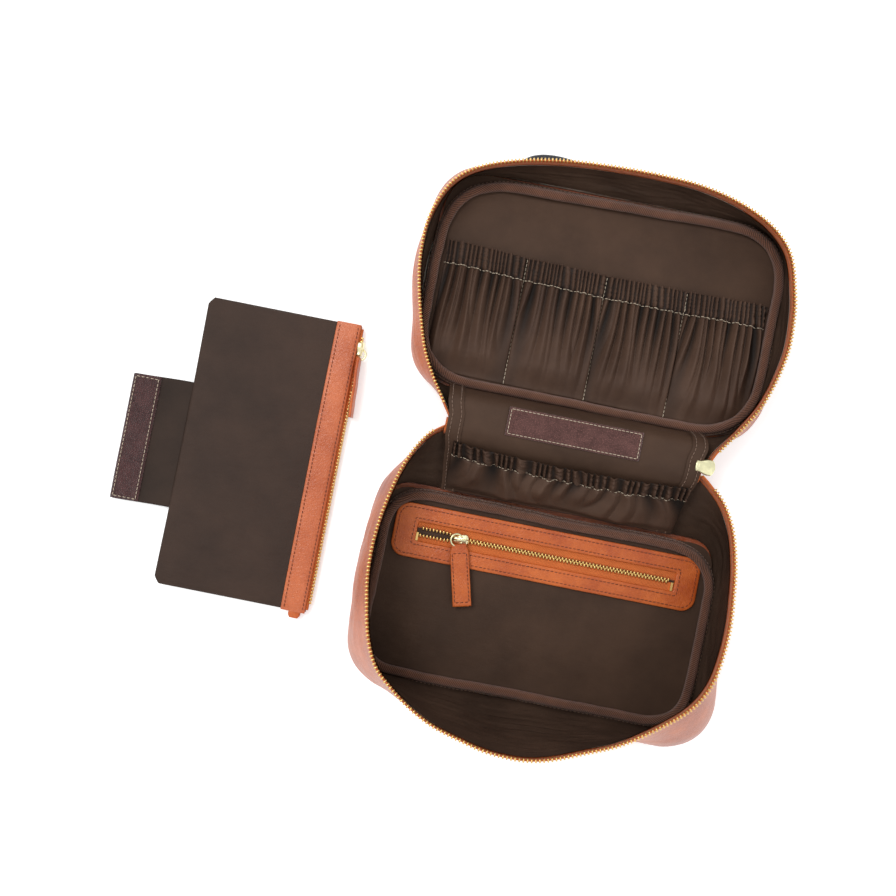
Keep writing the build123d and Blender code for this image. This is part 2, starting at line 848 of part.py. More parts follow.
pouch_channel = 2 * pouch_tooth_height + 0.7
pouch_slider_depth = pouch_tooth_reach - 0.4
pouch_slider_low = pouch_right - pouch_tooth_reach + 0.6
pouch_cover = pouch_slider_low + pouch_slider_depth + slider_top
pouch_ring_x = pouch_cover + (bail_height - bail_wire) / 2
pouch_ring_y = pouch_slider_y - ring_radius


def pouch_slider():
    body = slider_body(slider_length, pouch_slider_width, pouch_channel, pouch_slider_depth)
    hoop = Pos(0, 0, pouch_slider_depth + slider_top) * bail()
    turned = Plane((pouch_slider_low, pouch_slider_y, pouch_mid_z), x_dir=(0, 1, 0), z_dir=(1, 0, 0))
    return turned * (body + hoop)


def pouch_pull_ring():
    return Pos(pouch_ring_x, pouch_ring_y, pouch_mid_z) * Rot(0, 90, 0) * pull_ring()


def pouch_pull_tab():
    """The pouch's pull, which stands on its edge beside the zip."""
    turned = Plane((pouch_ring_x, pouch_ring_y - ring_radius, pouch_mid_z), x_dir=(0, 0, 1), z_dir=(-1, 0, 0))
    return turned * pull_tab(pouch_mid_z - pouch_pull_z)


flap_hinge_x = pouch_left - flap_gap - flap_thick / 2
flap_hinge_z = pouch_mid_z + pouch_edge / 2


def pouch_flap():
    """A cloth flap beside the pouch's left edge, turned up to the rolled fold that it swings on."""
    rise = flap_hinge_z - flap_z
    flap = Box(flap_reach, flap_width, flap_thick, align=(Align.MAX, Align.CENTER, Align.CENTER))
    lip = Box(flap_thick, flap_width, rise + flap_thick / 2, align=(Align.CENTER, Align.CENTER, Align.MIN))
    fold = Pos(0, 0, rise) * Cylinder(flap_thick / 2, flap_width, rotation=(90, 0, 0))
    return Pos(flap_hinge_x, flap_y, flap_z) * (flap + Pos(0, 0, -flap_thick / 2) * lip + fold)


def loop_strip():
    """The soft half of the touch fastener, at the flap's outer end."""
    strip = Box(strip_width, strip_length - 1, strip_thick, align=(Align.MIN, Align.CENTER, Align.MIN))
    return Pos(flap_hinge_x - flap_reach + 0.5, flap_y, flap_z + flap_thick / 2 + 0.1) * strip


nodes = {
    "base_zip_tape": lambda: tape_band(base_half),
    "base_zip_teeth": lambda: rim_teeth(base_half),
    "lid_zip_tape": lambda: tape_band(lid_half),
    "lid_zip_teeth": lambda: rim_teeth(lid_half),
    "base_leather_shell": base_leather_shell,
    "base_foam": base_foam,
    "base_lining": base_lining,
    "base_board": base_board,
    "pocket_bag": pocket_bag,
    "floor_lining": floor_lining,
    "floor_binding": floor_binding,
    "pocket_frame": pocket_frame,
    "pocket_zip_tapes": pocket_zip_tapes,
    "pocket_zip_teeth": pocket_zip_teeth,
    "pocket_zip_stops": pocket_zip_stops,
    "back_panel_base": back_panel_base,
    "back_pocket": back_pocket,
    "back_pocket_elastic": back_pocket_elastic,
    "back_side_strips": side_strips,
    "hinge_panel_base": hinge_panel_base,
    "lid_leather_shell": lid_leather_shell,
    "lid_foam": lid_foam,
    "lid_lining": lid_lining,
    "lid_board": lid_board,
    "lid_panel_lining": lid_panel_lining,
    "lid_binding": lid_binding,
    "back_panel_lid": back_panel_lid,
    "hinge_panel_lid": hinge_panel_lid,
    "hook_strip": hook_strip,
    "lid_pocket": lid_pocket,
    "lid_pocket_elastic": lid_pocket_elastic,
    "carry_handle": carry_handle,
    "handle_tabs": handle_tabs,
    "pocket_slider": pocket_slider,
    "pocket_pull_ring": pocket_pull_ring,
    "pocket_pull_tab": pocket_pull_tab,
    "main_slider": main_slider,
    "main_pull_ring": main_pull_ring,
    "main_pull_tab": main_pull_tab,
    "pouch_bag": pouch_bag,
    "pouch_band_top": pouch_band_top,
    "pouch_band_back": pouch_band_back,
    "pouch_zip_tapes": pouch_zip_tapes,
    "pouch_zip_teeth": pouch_zip_teeth,
    "pouch_zip_end_tab": pouch_zip_end_tab,
    "pouch_slider": pouch_slider,
    "pouch_pull_ring": pouch_pull_ring,
    "pouch_pull_tab": pouch_pull_tab,
    "pouch_flap": pouch_flap,
    "loop_strip": loop_strip,
}

os.makedirs("parts", exist_ok=True)
for name, make in nodes.items():
    export_step(make(), f"parts/{name}.step")
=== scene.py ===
import bpy
import math
import random
from mathutils import Matrix, Vector, noise


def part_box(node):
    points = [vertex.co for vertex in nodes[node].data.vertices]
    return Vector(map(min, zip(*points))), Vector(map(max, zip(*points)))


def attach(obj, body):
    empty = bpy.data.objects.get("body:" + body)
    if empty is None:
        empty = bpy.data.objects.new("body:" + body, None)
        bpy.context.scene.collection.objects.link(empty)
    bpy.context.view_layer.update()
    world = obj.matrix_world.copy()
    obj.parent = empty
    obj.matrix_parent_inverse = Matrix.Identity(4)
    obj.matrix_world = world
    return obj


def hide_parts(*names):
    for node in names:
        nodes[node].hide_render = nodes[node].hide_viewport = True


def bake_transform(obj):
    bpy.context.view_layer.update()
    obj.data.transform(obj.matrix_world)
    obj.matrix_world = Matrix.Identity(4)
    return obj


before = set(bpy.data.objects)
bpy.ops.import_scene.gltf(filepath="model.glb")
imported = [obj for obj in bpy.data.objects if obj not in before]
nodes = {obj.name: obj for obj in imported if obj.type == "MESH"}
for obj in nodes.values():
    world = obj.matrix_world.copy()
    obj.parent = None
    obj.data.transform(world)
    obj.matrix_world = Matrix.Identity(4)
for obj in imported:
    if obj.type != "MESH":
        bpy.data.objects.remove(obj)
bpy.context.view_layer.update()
mm = 0.001
fullTurn = 6.2832
skyward = Vector((0, 0, 1))
capped = {"closeAcross": True, "capStart": True, "capEnd": True}
dice = random.Random(7)

# Curves and meshes


def at(x, y, z):
    return Vector((x * mm, y * mm, z * mm))


def spun(degrees, axis):
    return Matrix.Rotation(math.radians(degrees), 4, axis)


def middleOf(node):
    low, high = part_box(node)
    return (low + high) / 2


def placed(name, data):        # an object in the scene
    thing = bpy.data.objects.new(name, data)
    bpy.context.scene.collection.objects.link(thing)
    return thing


def thicken(piece, thickness, offset=-1.0):
    cloth = piece.modifiers.new("cloth", "SOLIDIFY")
    cloth.thickness = thickness * mm
    cloth.offset = offset


def crossed(rows):        # the same grid of points, read the other way
    return [list(column) for column in zip(*rows)]


def smooth(edgeLow, edgeHigh, value):
    share = min(max((value - edgeLow) / (edgeHigh - edgeLow), 0.0), 1.0)
    return share * share * (3 - 2 * share)


def mix(a, b, share):
    return a + (b - a) * share


def wobble(x, y, z, size):        # smooth noise from -1 to 1, with waves about size millimetres long
    return noise.noise(Vector((x, y, z)) / (size * mm))


def resample(points, count, closed=False):        # a soft curve through the points, at even steps
    last = len(points)
    dense = []
    spans = last if closed else last - 1
    for i in range(spans):
        if closed:
            a, b, c, d = (points[(i + k) % last] for k in (-1, 0, 1, 2))
        else:
            a, b, c, d = (points[min(max(i + k, 0), last - 1)] for k in (-1, 0, 1, 2))
        for k in range(24):
            t = k / 24
            dense.append(0.5 * ((2 * b) + (c - a) * t + (2 * a - 5 * b + 4 * c - d) * t ** 2
                                + (3 * b - a - 3 * c + d) * t ** 3))
    dense.append(points[0].copy() if closed else points[-1].copy())
    return evenSteps(dense, count, closed)


def evenSteps(dense, count, closed=False):
    lengths = [0.0]
    for a, b in zip(dense, dense[1:]):
        lengths.append(lengths[-1] + (b - a).length)
    steps = count if closed else count - 1
    result = []
    k = 0
    for i in range(count):
        wanted = lengths[-1] * i / steps
        while k < len(lengths) - 2 and lengths[k + 1] < wanted:
            k += 1
        span = lengths[k + 1] - lengths[k]
        result.append(dense[k].lerp(dense[k + 1], (wanted - lengths[k]) / span if span else 0))
    return result


def pathLength(path):
    return sum((b - a).length for a, b in zip(path, path[1:]))


def outwards(loop):        # sideways normals of a closed loop, in the ground plane
    count = len(loop)
    middle = sum(loop, Vector()) / count
    normals = []
    for i in range(count):
        along = loop[(i + 1) % count] - loop[i - 1]
        side = Vector((along.y, -along.x, 0)).normalized()
        normals.append(side if side.dot(loop[i] - middle) > 0 else -side)
    turn = normals[0].cross(loop[1] - loop[0]).z
    for i in range(count):
        along = loop[(i + 1) % count] - loop[i - 1]
        side = Vector((along.y, -along.x, 0)).normalized()
        normals[i] = side if side.cross(along).z * turn > 0 else -side
    return normals


def roundedRectangle(width, depth, corner, count, softness=2.0):        # a closed loop round its own middle
    dense = []
    for quarter in range(4):
        cx = (width / 2 - corner) * (1 if quarter in (0, 3) else -1)
        cy = (depth / 2 - corner) * (1 if quarter in (0, 1) else -1)
        for k in range(13):
            angle = math.pi / 2 * (quarter + k / 12)
            x = math.copysign(abs(math.cos(angle)) ** (2 / softness), math.cos(angle))
            y = math.copysign(abs(math.sin(angle)) ** (2 / softness), math.sin(angle))
            dense.append(at(cx + corner * x, cy + corner * y, 0))
    dense.append(dense[0].copy())
    return evenSteps(dense, count, closed=True)


def meshPiece(name, verts, faces, finish, body, replaced=(), slotName=None, seams=None, litShares=None):
    mesh = bpy.data.meshes.new(name)
    mesh.from_pydata([tuple(v) for v in verts], [], faces)
    # the share of light per point sets the painted shade in gathered cloth
    if litShares:
        mesh.attributes.new("crest", "FLOAT", "POINT").data.foreach_set("value", litShares)
    if seams:
        layer = mesh.uv_layers.new(name="seam")
        for i, uv in enumerate(seams[:len(layer.data)]):
            layer.data[i].uv = uv
    mesh.polygons.foreach_set("use_smooth", [True] * len(mesh.polygons))
    mesh.update()
    piece = placed(name, mesh)
    piece.data.materials.append(finish)
    return settle(piece, body, replaced, slotName)


def settle(piece, body, replaced=(), slotName=None):
    if isinstance(body, str):
        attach(piece, body)
    elif body:
        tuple(body[2])
        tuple(body[3])
        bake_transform(piece)
    if replaced:
        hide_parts(*replaced)
    return piece


def skinRows(rows, closeAcross=False, capStart=False, capEnd=False, closeRows=False):
    # Vertices, faces and seam coordinates in metres of a surface through rows of points
    across = len(rows[0])
    verts = [p for row in rows for p in row]
    faces = []
    seams = []
    middle = rows[len(rows) // 2]
    run = [0.0]
    for i in range(across):
        run.append(run[-1] + (middle[(i + 1) % across] - middle[i]).length)
    rise = [0.0]
    for a, b in zip(rows, rows[1:]):
        rise.append(rise[-1] + (b[0] - a[0]).length)
    rise.append(rise[-1] + (rows[0][0] - rows[-1][0]).length)
    rowSpans = len(rows) if closeRows else len(rows) - 1
    for r in range(rowSpans):
        nextRow = (r + 1) % len(rows)
        for i in range(across if closeAcross else across - 1):
            j = (i + 1) % across
            faces.append((r * across + i, r * across + j, nextRow * across + j, nextRow * across + i))
            seams += [(run[i], rise[r]), (run[i + 1], rise[r]), (run[i + 1], rise[r + 1]),
                      (run[i], rise[r + 1])]
    for wanted, r in ((capStart, 0), (capEnd, len(rows) - 1)):
        if wanted:
            faces.append(tuple(r * across + i for i in range(across)))
            seams += [(0.0, 0.0)] * across
    return verts, faces, seams


def rowPiece(name, rows, finish, body, replaced=(), slotName=None, litShares=None, **how):
    verts, faces, seams = skinRows(rows, **how)
    return meshPiece(name, verts, faces, finish, body, replaced, slotName, seams, litShares=litShares)


def sweepRows(path, section, ups, closed=False):        # carries (side, up) offsets in mm along a path
    rows = []
    count = len(path)
    for i in range(count):
        ahead = path[(i + 1) % count] if closed else path[min(i + 1, count - 1)]
        behind = path[i - 1] if closed else path[max(i - 1, 0)]
        along = (ahead - behind).normalized()
        up = ups[i] if isinstance(ups, list) else ups
        side = along.cross(up).normalized()
        rows.append([path[i] + side * (s * mm) + up * (u * mm) for s, u in section])
    return rows


def ellipse(width, height, count, squareness=2.0):
    ring = []
    for i in range(count):
        angle = 2 * math.pi * i / count
        c, s = math.cos(angle), math.sin(angle)
        ring.append((math.copysign(abs(c) ** (2 / squareness), c) * width / 2,
                     math.copysign(abs(s) ** (2 / squareness), s) * height / 2))
    return ring


def merged(name, parts, finish, body, replaced=(), slotName=None):        # many shapes, one mesh
    verts = []
    faces = []
    for shapeVerts, shapeFaces in parts:
        start = len(verts)
        verts += shapeVerts
        faces += [tuple(start + i for i in face) for face in shapeFaces]
    return meshPiece(name, verts, faces, finish, body, replaced, slotName)


def roundedBar(place, length, width, height, rise=0.0):        # a bar with eased edges, on its base
    rows = []
    for along, draw in ((-1, 0.55), (-0.8, 0.9), (-0.5, 1), (0.5, 1), (0.8, 0.9), (1, 0.55)):
        ring = []
        for angle in range(8):
            turn = math.pi / 4 * (angle + 0.5)
            y = math.copysign(min(abs(math.cos(turn)) * 1.25, 1), math.cos(turn)) * width / 2 * draw
            z = math.copysign(min(abs(math.sin(turn)) * 1.25, 1), math.sin(turn)) * height / 2 * draw
            ring.append(place @ at(along * length / 2, y, z + height / 2 + rise))
        rows.append(ring)
    return skinRows(rows, **capped)[:2]


def frameAt(point, along, up):
    x = along.normalized()
    z = (up - x * up.dot(x)).normalized()
    y = z.cross(x)
    turned = Matrix((x, y, z)).transposed().to_4x4()
    turned.translation = point
    return turned


stitchLook = {"pitch": 3.0, "length": 2.3, "thread": 0.5, "lift": 0.12}


def stitchParts(path, up, pitch=None, length=None, thread=None, slant=6.0):
    pitch = pitch or stitchLook["pitch"]
    length = length or stitchLook["length"]
    thread = thread or stitchLook["thread"]
    total = pathLength(path) / mm
    count = max(int(total / pitch), 1)
    even = evenSteps(path, count * 2 + 1)
    parts = []
    for i in range(count):
        point = even[2 * i + 1]
        along = even[2 * i + 2] - even[2 * i]
        normal = up(point) if callable(up) else up
        place = frameAt(point, along, normal) @ Matrix.Rotation(math.radians(slant + dice.uniform(-4, 4)),
                                                                4, "Z")
        rows = []
        for k in range(5):
            t = k / 4 * 2 - 1
            lift = stitchLook["lift"] + 0.22 * (1 - t * t) - 0.2 * t ** 4
            size = thread / 2 * (1 - 0.45 * t ** 4)
            rows.append([place @ at(t * length / 2, size * math.cos(a), lift + size * 0.8 * math.sin(a))
                         for a in (0, math.pi / 3, 2 * math.pi / 3, math.pi, 4 * math.pi / 3,
                                   5 * math.pi / 3)])
        parts.append(skinRows(rows, **capped)[:2])
    return parts


# Shader maths


class Value:        # a shader socket that takes part in arithmetic
    def __init__(self, look, socket):
        self.look = look
        self.socket = socket

    def combine(self, kind, first, second):
        return self.look.node("ShaderNodeMath", {"operation": kind}, {0: first, 1: second})

    def __add__(self, other):
        return self.combine("ADD", self, other)

    def __radd__(self, other):
        return self.combine("ADD", other, self)

    def __sub__(self, other):
        return self.combine("SUBTRACT", self, other)

    def __rsub__(self, other):
        return self.combine("SUBTRACT", other, self)

    def __mul__(self, other):
        return self.combine("MULTIPLY", self, other)

    def __rmul__(self, other):
        return self.combine("MULTIPLY", other, self)

    def __pow__(self, other):
        return self.combine("POWER", self, other)


class Look:        # a material under construction
    def __init__(self, name, metallic=0.0, specular=0.5, sheen=0.0, coat=0.0, coatRoughness=0.3):
        self.material = bpy.data.materials.new(name)
        self.material.use_nodes = True
        self.tree = self.material.node_tree
        self.tree.nodes.clear()
        self.output = self.tree.nodes.new("ShaderNodeOutputMaterial")
        self.shader = self.tree.nodes.new("ShaderNodeBsdfPrincipled")
        self.tree.links.new(self.shader.outputs[0], self.output.inputs["Surface"])
        fixed = {"Metallic": metallic, "Specular IOR Level": specular, "Sheen Weight": sheen,
                 "Coat Weight": coat, "Coat Roughness": coatRoughness}
        for socket, value in fixed.items():
            self.shader.inputs[socket].default_value = value

    def node(self, kind, settings=None, inputs=None, output=0):
        made = self.tree.nodes.new(kind)
        for key, value in (settings or {}).items():
            if key == "stops":
                self.setStops(made.color_ramp, value)
            else:
                setattr(made, key, value)
        for key, value in (inputs or {}).items():
            self.feed(made.inputs[key], value)
        return Value(self, made.outputs[output])

    def setStops(self, ramp, stops):
        while len(ramp.elements) < len(stops):
            ramp.elements.new(0.5)
        for element, (position, colour) in zip(ramp.elements, stops):
            element.position = position
            element.color = (*colour, 1.0)

    def feed(self, socket, value):
        if isinstance(value, Value):
            self.tree.links.new(value.socket, socket)
        else:
            socket.default_value = value

    def set(self, name, value):
        self.feed(self.shader.inputs[name], value)

    def place(self, kind="Object"):
        return self.node("ShaderNodeTexCoord", output=kind)

    def scaled(self, vector, scale):
        return self.node("ShaderNodeMapping", inputs={"Vector": vector, "Scale": scale})

    def cloud(self, vector, scale, detail=3.0, roughness=0.55):
        return self.node("ShaderNodeTexNoise", inputs={"Vector": vector, "Scale": scale, "Detail": detail,
                                                       "Roughness": roughness})

    def cells(self, vector, scale):
        return self.node("ShaderNodeTexVoronoi", {"feature": "DISTANCE_TO_EDGE"},
                         {"Vector": vector, "Scale": scale})

    def bands(self, vector, scale, distortion=0.0, direction="X"):
        return self.node("ShaderNodeTexWave", {"bands_direction": direction},
                         {"Vector": vector, "Scale": scale, "Distortion": distortion}, output=1)

    def blendColours(self, share, first, second, how="MIX"):
        return self.node("ShaderNodeMix", {"data_type": "RGBA", "blend_type": how},
                         {0: share, 6: first, 7: second}, output=2)

    def ramp(self, value, stops):
        return self.node("ShaderNodeValToRGB", {"stops": stops}, {"Fac": value})

    def bump(self, height, distance, strength=1.0, after=None):
        inputs = {"Height": height, "Distance": distance, "Strength": strength}
        if after:
            inputs["Normal"] = after
        return self.node("ShaderNodeBump", inputs=inputs)


def shade(red, green, blue):        # a colour as seen on a screen, 0 to 255, made linear
    return tuple(((c / 255 + 0.055) / 1.055) ** 2.4 if c > 10 else c / 255 / 12.92
                 for c in (red, green, blue))


def solid(red, green, blue):
    return (*shade(red, green, blue), 1.0)


leatherLook = {"light": (210, 106, 40), "deep": (176, 76, 24), "grain": 620.0, "grainDepth": 0.00022,
               "creaseScale": 60.0, "roughness": 0.33}


def leatherFinish(name, light=None, deep=None, creaseAxis=None, gloss=0.5):
    look = Look(name, specular=gloss, coat=0.06, coatRoughness=0.3)
    spot = look.place()
    tone = look.cloud(spot, 38.0, 4.0)
    fine = look.cloud(spot, 420.0, 2.0)
    light = light or leatherLook["light"]
    deep = deep or leatherLook["deep"]
    colour = look.ramp(tone * 0.75 + fine * 0.25, [(0.34, shade(*deep)), (0.66, shade(*light))])
    grain = look.cells(spot, leatherLook["grain"])
    pits = look.ramp(grain, [(0.0, (0, 0, 0)), (0.22, (1, 1, 1))])
    stretch = creaseAxis or (1.0, 1.0, 3.0)
    creases = look.cloud(look.scaled(spot, stretch), leatherLook["creaseScale"], 5.0, 0.65)
    look.set("Base Color", colour)
    look.set("Roughness", leatherLook["roughness"] + tone * 0.16 - pits * 0.05)
    deepCreases = look.bump(creases, 0.0012, 0.55)
    look.set("Normal", look.bump(pits, leatherLook["grainDepth"], 0.5, after=deepCreases))
    return look.material


def clothFinish(name, light, deep, thread=0.42, sheen=0.0, roughness=0.55, blotch=22.0, weaveDepth=0.00012,
                creases=0.35, folds=None):
    look = Look(name, specular=0.22, sheen=sheen)
    spot = look.place()
    tone = look.cloud(spot, blotch, 5.0, 0.6)
    colour = look.ramp(tone, [(0.3, shade(*deep)), (0.68, shade(*light))])
    if folds:        # painted shade: the hollows between gathers take the folds colour, the crests keep the cloth's own colour
        crest = look.node("ShaderNodeAttribute", {"attribute_name": "crest"}, output=2)
        colour = look.blendColours(look.ramp(crest, [(0.08, (0, 0, 0)), (0.5, (1, 1, 1))]), solid(*folds),
                                   colour)
    scale = 1000.0 / (thread * fullTurn)
    warp = look.bands(spot, scale * 3.1, 0.4, "X")
    weft = look.bands(spot, scale * 3.1, 0.4, "Y")
    wrinkles = look.cloud(look.scaled(spot, (1.0, 2.2, 2.2)), 70.0, 4.0, 0.6)
    look.set("Base Color", colour)
    look.set("Roughness", roughness + tone * 0.12)
    folded = look.bump(wrinkles, 0.0008, creases)
    look.set("Normal", look.bump(warp + weft, weaveDepth, 0.35, after=folded))
    return look.material


def twillFinish(name, light, deep, pitch=1.3, slant=1.0, depth=0.00035, roughness=0.75):
    look = Look(name, specular=0.25, sheen=0.2)
    seam = look.node("ShaderNodeUVMap", {"uv_map": "seam"})
    parted = look.tree.nodes.new("ShaderNodeSeparateXYZ")
    look.feed(parted.inputs[0], seam)
    along = Value(look, parted.outputs[0])
    across = Value(look, parted.outputs[1])
    turns = fullTurn / (pitch * mm)
    ribs = look.node("ShaderNodeMath", {"operation": "SINE"}, {0: (along + across * slant) * turns})
    cross = look.node("ShaderNodeMath", {"operation": "SINE"},
                      {0: (along - across * slant) * (turns * 1.7)})
    height = ribs * 0.5 + cross * 0.16 + 0.5
    tone = look.cloud(look.place(), 60.0, 3.0)
    # painted highlight and shade: the colour follows the rib height, lighter on the ribs and darker in the
    # grooves between them
    colour = look.ramp(height * 0.6 + tone * 0.4, [(0.2, shade(*deep)), (0.8, shade(*light))])
    look.set("Base Color", colour)
    look.set("Roughness", roughness - tone * 0.1)
    look.set("Normal", look.bump(height, depth, 0.8))
    return look.material


def metalFinish(name, colour, roughness=0.22, wear=0.12):
    look = Look(name, metallic=1.0)
    spot = look.place()
    tone = look.cloud(spot, 300.0, 2.0)
    tint = look.ramp(tone, [(0.3, tuple(c * 0.82 for c in shade(*colour))), (0.7, shade(*colour))])
    look.set("Base Color", tint)
    look.set("Roughness", roughness + tone * wear)
    look.set("Normal", look.bump(look.cloud(spot, 900.0, 1.0), 0.00005, 0.3))
    return look.material


def bristleFinish(name, light, deep, scale, depth, roughness=0.85):        # hook and loop tape
    look = Look(name, specular=0.3, sheen=0.35)
    spot = look.place()
    tufts = look.cells(spot, scale)
    blotches = look.cloud(spot, 130.0, 4.0)
    # painted shade: the colour darkens between the tufts, where their height drops
    colour = look.ramp(tufts * 1.6 * 0.6 + blotches * 0.4, [(0.12, shade(*deep)), (0.62, shade(*light))])
    look.set("Base Color", colour)
    look.set("Roughness", roughness - blotches * 0.15)
    look.set("Normal", look.bump(tufts, depth, 1.0))
    return look.material


def threadFinish(name, light, deep):
    look = Look(name, specular=0.3, sheen=0.2)
    spot = look.place()
    ply = look.bands(spot, 700.0, 1.0, "DIAGONAL")
    # painted shade: the colour follows the ply, darker in the grooves between plies
    look.set("Base Color", look.ramp(ply, [(0.1, shade(*deep)), (0.8, shade(*light))]))
    look.set("Roughness", 0.6 + ply * 0.1)
    look.set("Normal", look.bump(ply, 0.0001, 0.6))
    return look.material


tanLeather = leatherFinish("tanLeather")
# a darker copy of the tan leather for the walls; the deeper colour is painted shade, and the gloss is
# raised
wallLeather = leatherFinish("wallLeather", light=(200, 104, 52), deep=(160, 70, 28),
                            creaseAxis=(3.2, 3.2, 0.5), gloss=1.0)
# a paler, pinker copy of the tan leather for the pouch band; the paler colour is painted sheen
bandLeather = leatherFinish("bandLeather", light=(206, 110, 62), deep=(178, 84, 38),
                            creaseAxis=(0.6, 3.4, 1.0), gloss=0.6)
# the handle's own dark leather, also used for the near-black painted shade sheet inside the floor pocket
darkLeatherAndShade = leatherFinish("darkLeatherAndShade", light=(40, 42, 48), deep=(20, 22, 28))
liningCloth = clothFinish("liningCloth", (78, 57, 44), (62, 44, 33))
wallCloth = clothFinish("wallCloth", (76, 57, 45), (56, 41, 32), creases=0.7)
# gathered cloth with painted shade: folds is the dark colour painted into the hollows between its gathers
gatheredCloth = clothFinish("gatheredCloth", (86, 64, 51), (68, 49, 39), roughness=0.5, creases=0.25,
                            folds=(24, 16, 11))
pouchCloth = clothFinish("pouchCloth", (66, 49, 40), (52, 38, 31), roughness=0.5, creases=0.9)
ribbedCloth = clothFinish("ribbedCloth", (58, 44, 36), (42, 31, 25), thread=1.1, weaveDepth=0.0005)
bindingTwill = twillFinish("bindingTwill", (142, 94, 71), (48, 29, 21), pitch=1.7, depth=0.0007)
tapeWeave = twillFinish("tapeWeave", (236, 128, 62), (176, 84, 36), pitch=1.0, slant=0.6, depth=0.00025)
brass = metalFinish("brass", (246, 206, 130), 0.26)
paleGold = metalFinish("paleGold", (255, 250, 205), 0.34)
hookTape = bristleFinish("hookTape", (116, 76, 70), (58, 32, 29), 900.0, 0.0005)
loopTape = bristleFinish("loopTape", (98, 54, 52), (34, 13, 13), 760.0, 0.0014)
tanThread = threadFinish("tanThread", (132, 62, 34), (84, 34, 18))
greyThread = threadFinish("greyThread", (222, 206, 182), (170, 152, 130))
dullThread = threadFinish("dullThread", (150, 122, 104), (104, 80, 66))
darkThread = threadFinish("darkThread", (70, 54, 46), (40, 30, 26))
boardFibre = clothFinish("boardFibre", (150, 136, 116), (120, 106, 88), thread=0.9)
foamSheet = clothFinish("foamSheet", (214, 208, 196), (190, 182, 168), thread=1.6)
print("finishes ready")

# Rims, floors and the ways up the walls

bag = {
    "tapeHeight": 5.0, "leather": 1.6, "hingeY": 116.0, "hingeZ": 37.5,
    "baseRim": [(92, 117.5), (99, 111.5), (109, 100), (116, 84), (119.5, 63), (120, 42), (119, 21),
                (115, 0), (109, -16.5), (98, -31), (79.5, -45), (56, -59),
                (33, -68), (13, -75), (-4, -78), (-25, -77.5),
                (-43, -74), (-62, -69), (-79, -61), (-94, -51),
                (-104, -42), (-112, -27), (-117, -9), (-121, 11),
                (-122, 32), (-120, 54), (-115, 78), (-109, 94.5), (-100, 109), (-89.5, 117.5)],
    "lidRim": [(94.5, 123), (99.5, 134), (111, 151), (122, 170), (129, 191), (133, 214), (132, 238),
               (129, 254),
               (123, 274), (114, 287), (99, 298), (77, 307), (51, 312.5), (26, 314), (0, 314), (-30, 312.5),
               (-55, 309.5), (-80, 304), (-101, 296), (-115, 286),
               (-124, 272), (-130, 252), (-130.5, 229), (-128, 211),
               (-123, 190), (-115, 165), (-106, 148), (-97, 134.5), (-89, 122.5)],
    "baseFloor": (254.0, 146.0, 24.0), "lidFloor": (260.0, 164.0, 38.0),
    "steps": 300, "hingeSteps": 60,
}
rimSlope = math.tan(math.radians(16.5))


def baseRimPoint(x, y):
    return at(x, y, bag["hingeZ"] + (bag["hingeY"] - 1.2 - y) * rimSlope)


def lidRimPoint(x, y):
    return at(x, y, bag["hingeZ"] + 0.012 * (y - bag["hingeY"]))


def withHinge(line):        # the same line with its straight hinge edge added
    steps = bag["hingeSteps"]
    return line + [line[-1].lerp(line[0], (k + 1) / (steps + 1)) for k in range(steps)]


def rimLoop(points, place):        # evenly stepped rim with the straight hinge edge last
    open_ = resample([place(x, y) for x, y in points], bag["steps"] - bag["hingeSteps"])
    return withHinge(open_)


def floorLoop(size, middleX, middleY, height, hingeSide):
    # A rounded floor outline whose points run level with the rim's, hinge edge last
    width, depth, corner = size
    loop = roundedRectangle(width, depth, corner, 1200, 2.3)
    shifted = [p + at(middleX, middleY, height) for p in loop]
    side = 1 if hingeSide > middleY else -1
    start = min(range(1200), key=lambda i: (shifted[i] - at(90, hingeSide, height)).length)
    order = [shifted[(start - side * k) % 1200] for k in range(1200)]
    end = min(range(1200), key=lambda k: (order[k] - at(-90, hingeSide, height)).length)
    open_ = evenSteps(order[:end + 1], bag["steps"] - bag["hingeSteps"])
    return withHinge(open_)


baseRim = rimLoop(bag["baseRim"], baseRimPoint)
lidRim = rimLoop(bag["lidRim"], lidRimPoint)
baseFloor = floorLoop(bag["baseFloor"], 0, 0, 0, 73)
lidFloor = floorLoop(bag["lidFloor"], 3, 224, 9, 141)
baseUp = Vector((0, math.sin(math.radians(16.5)), math.cos(math.radians(16.5))))
lidUp = skyward
halves = {
    "base": {"rim": baseRim, "floor": baseFloor, "up": baseUp, "bulge": 7.0, "sag": 1.2,
             "slump": (at(98, -31, 86), 11.0, 0.03)},
    "lid": {"rim": lidRim, "floor": lidFloor, "up": lidUp, "bulge": 2.5, "sag": 0.7,
            "slump": (at(-130, 215, 37), 4.0, 0.028)},
}
for half in halves.values():
    half["rimOut"] = outwards(half["rim"])
    half["floorOut"] = outwards(half["floor"])


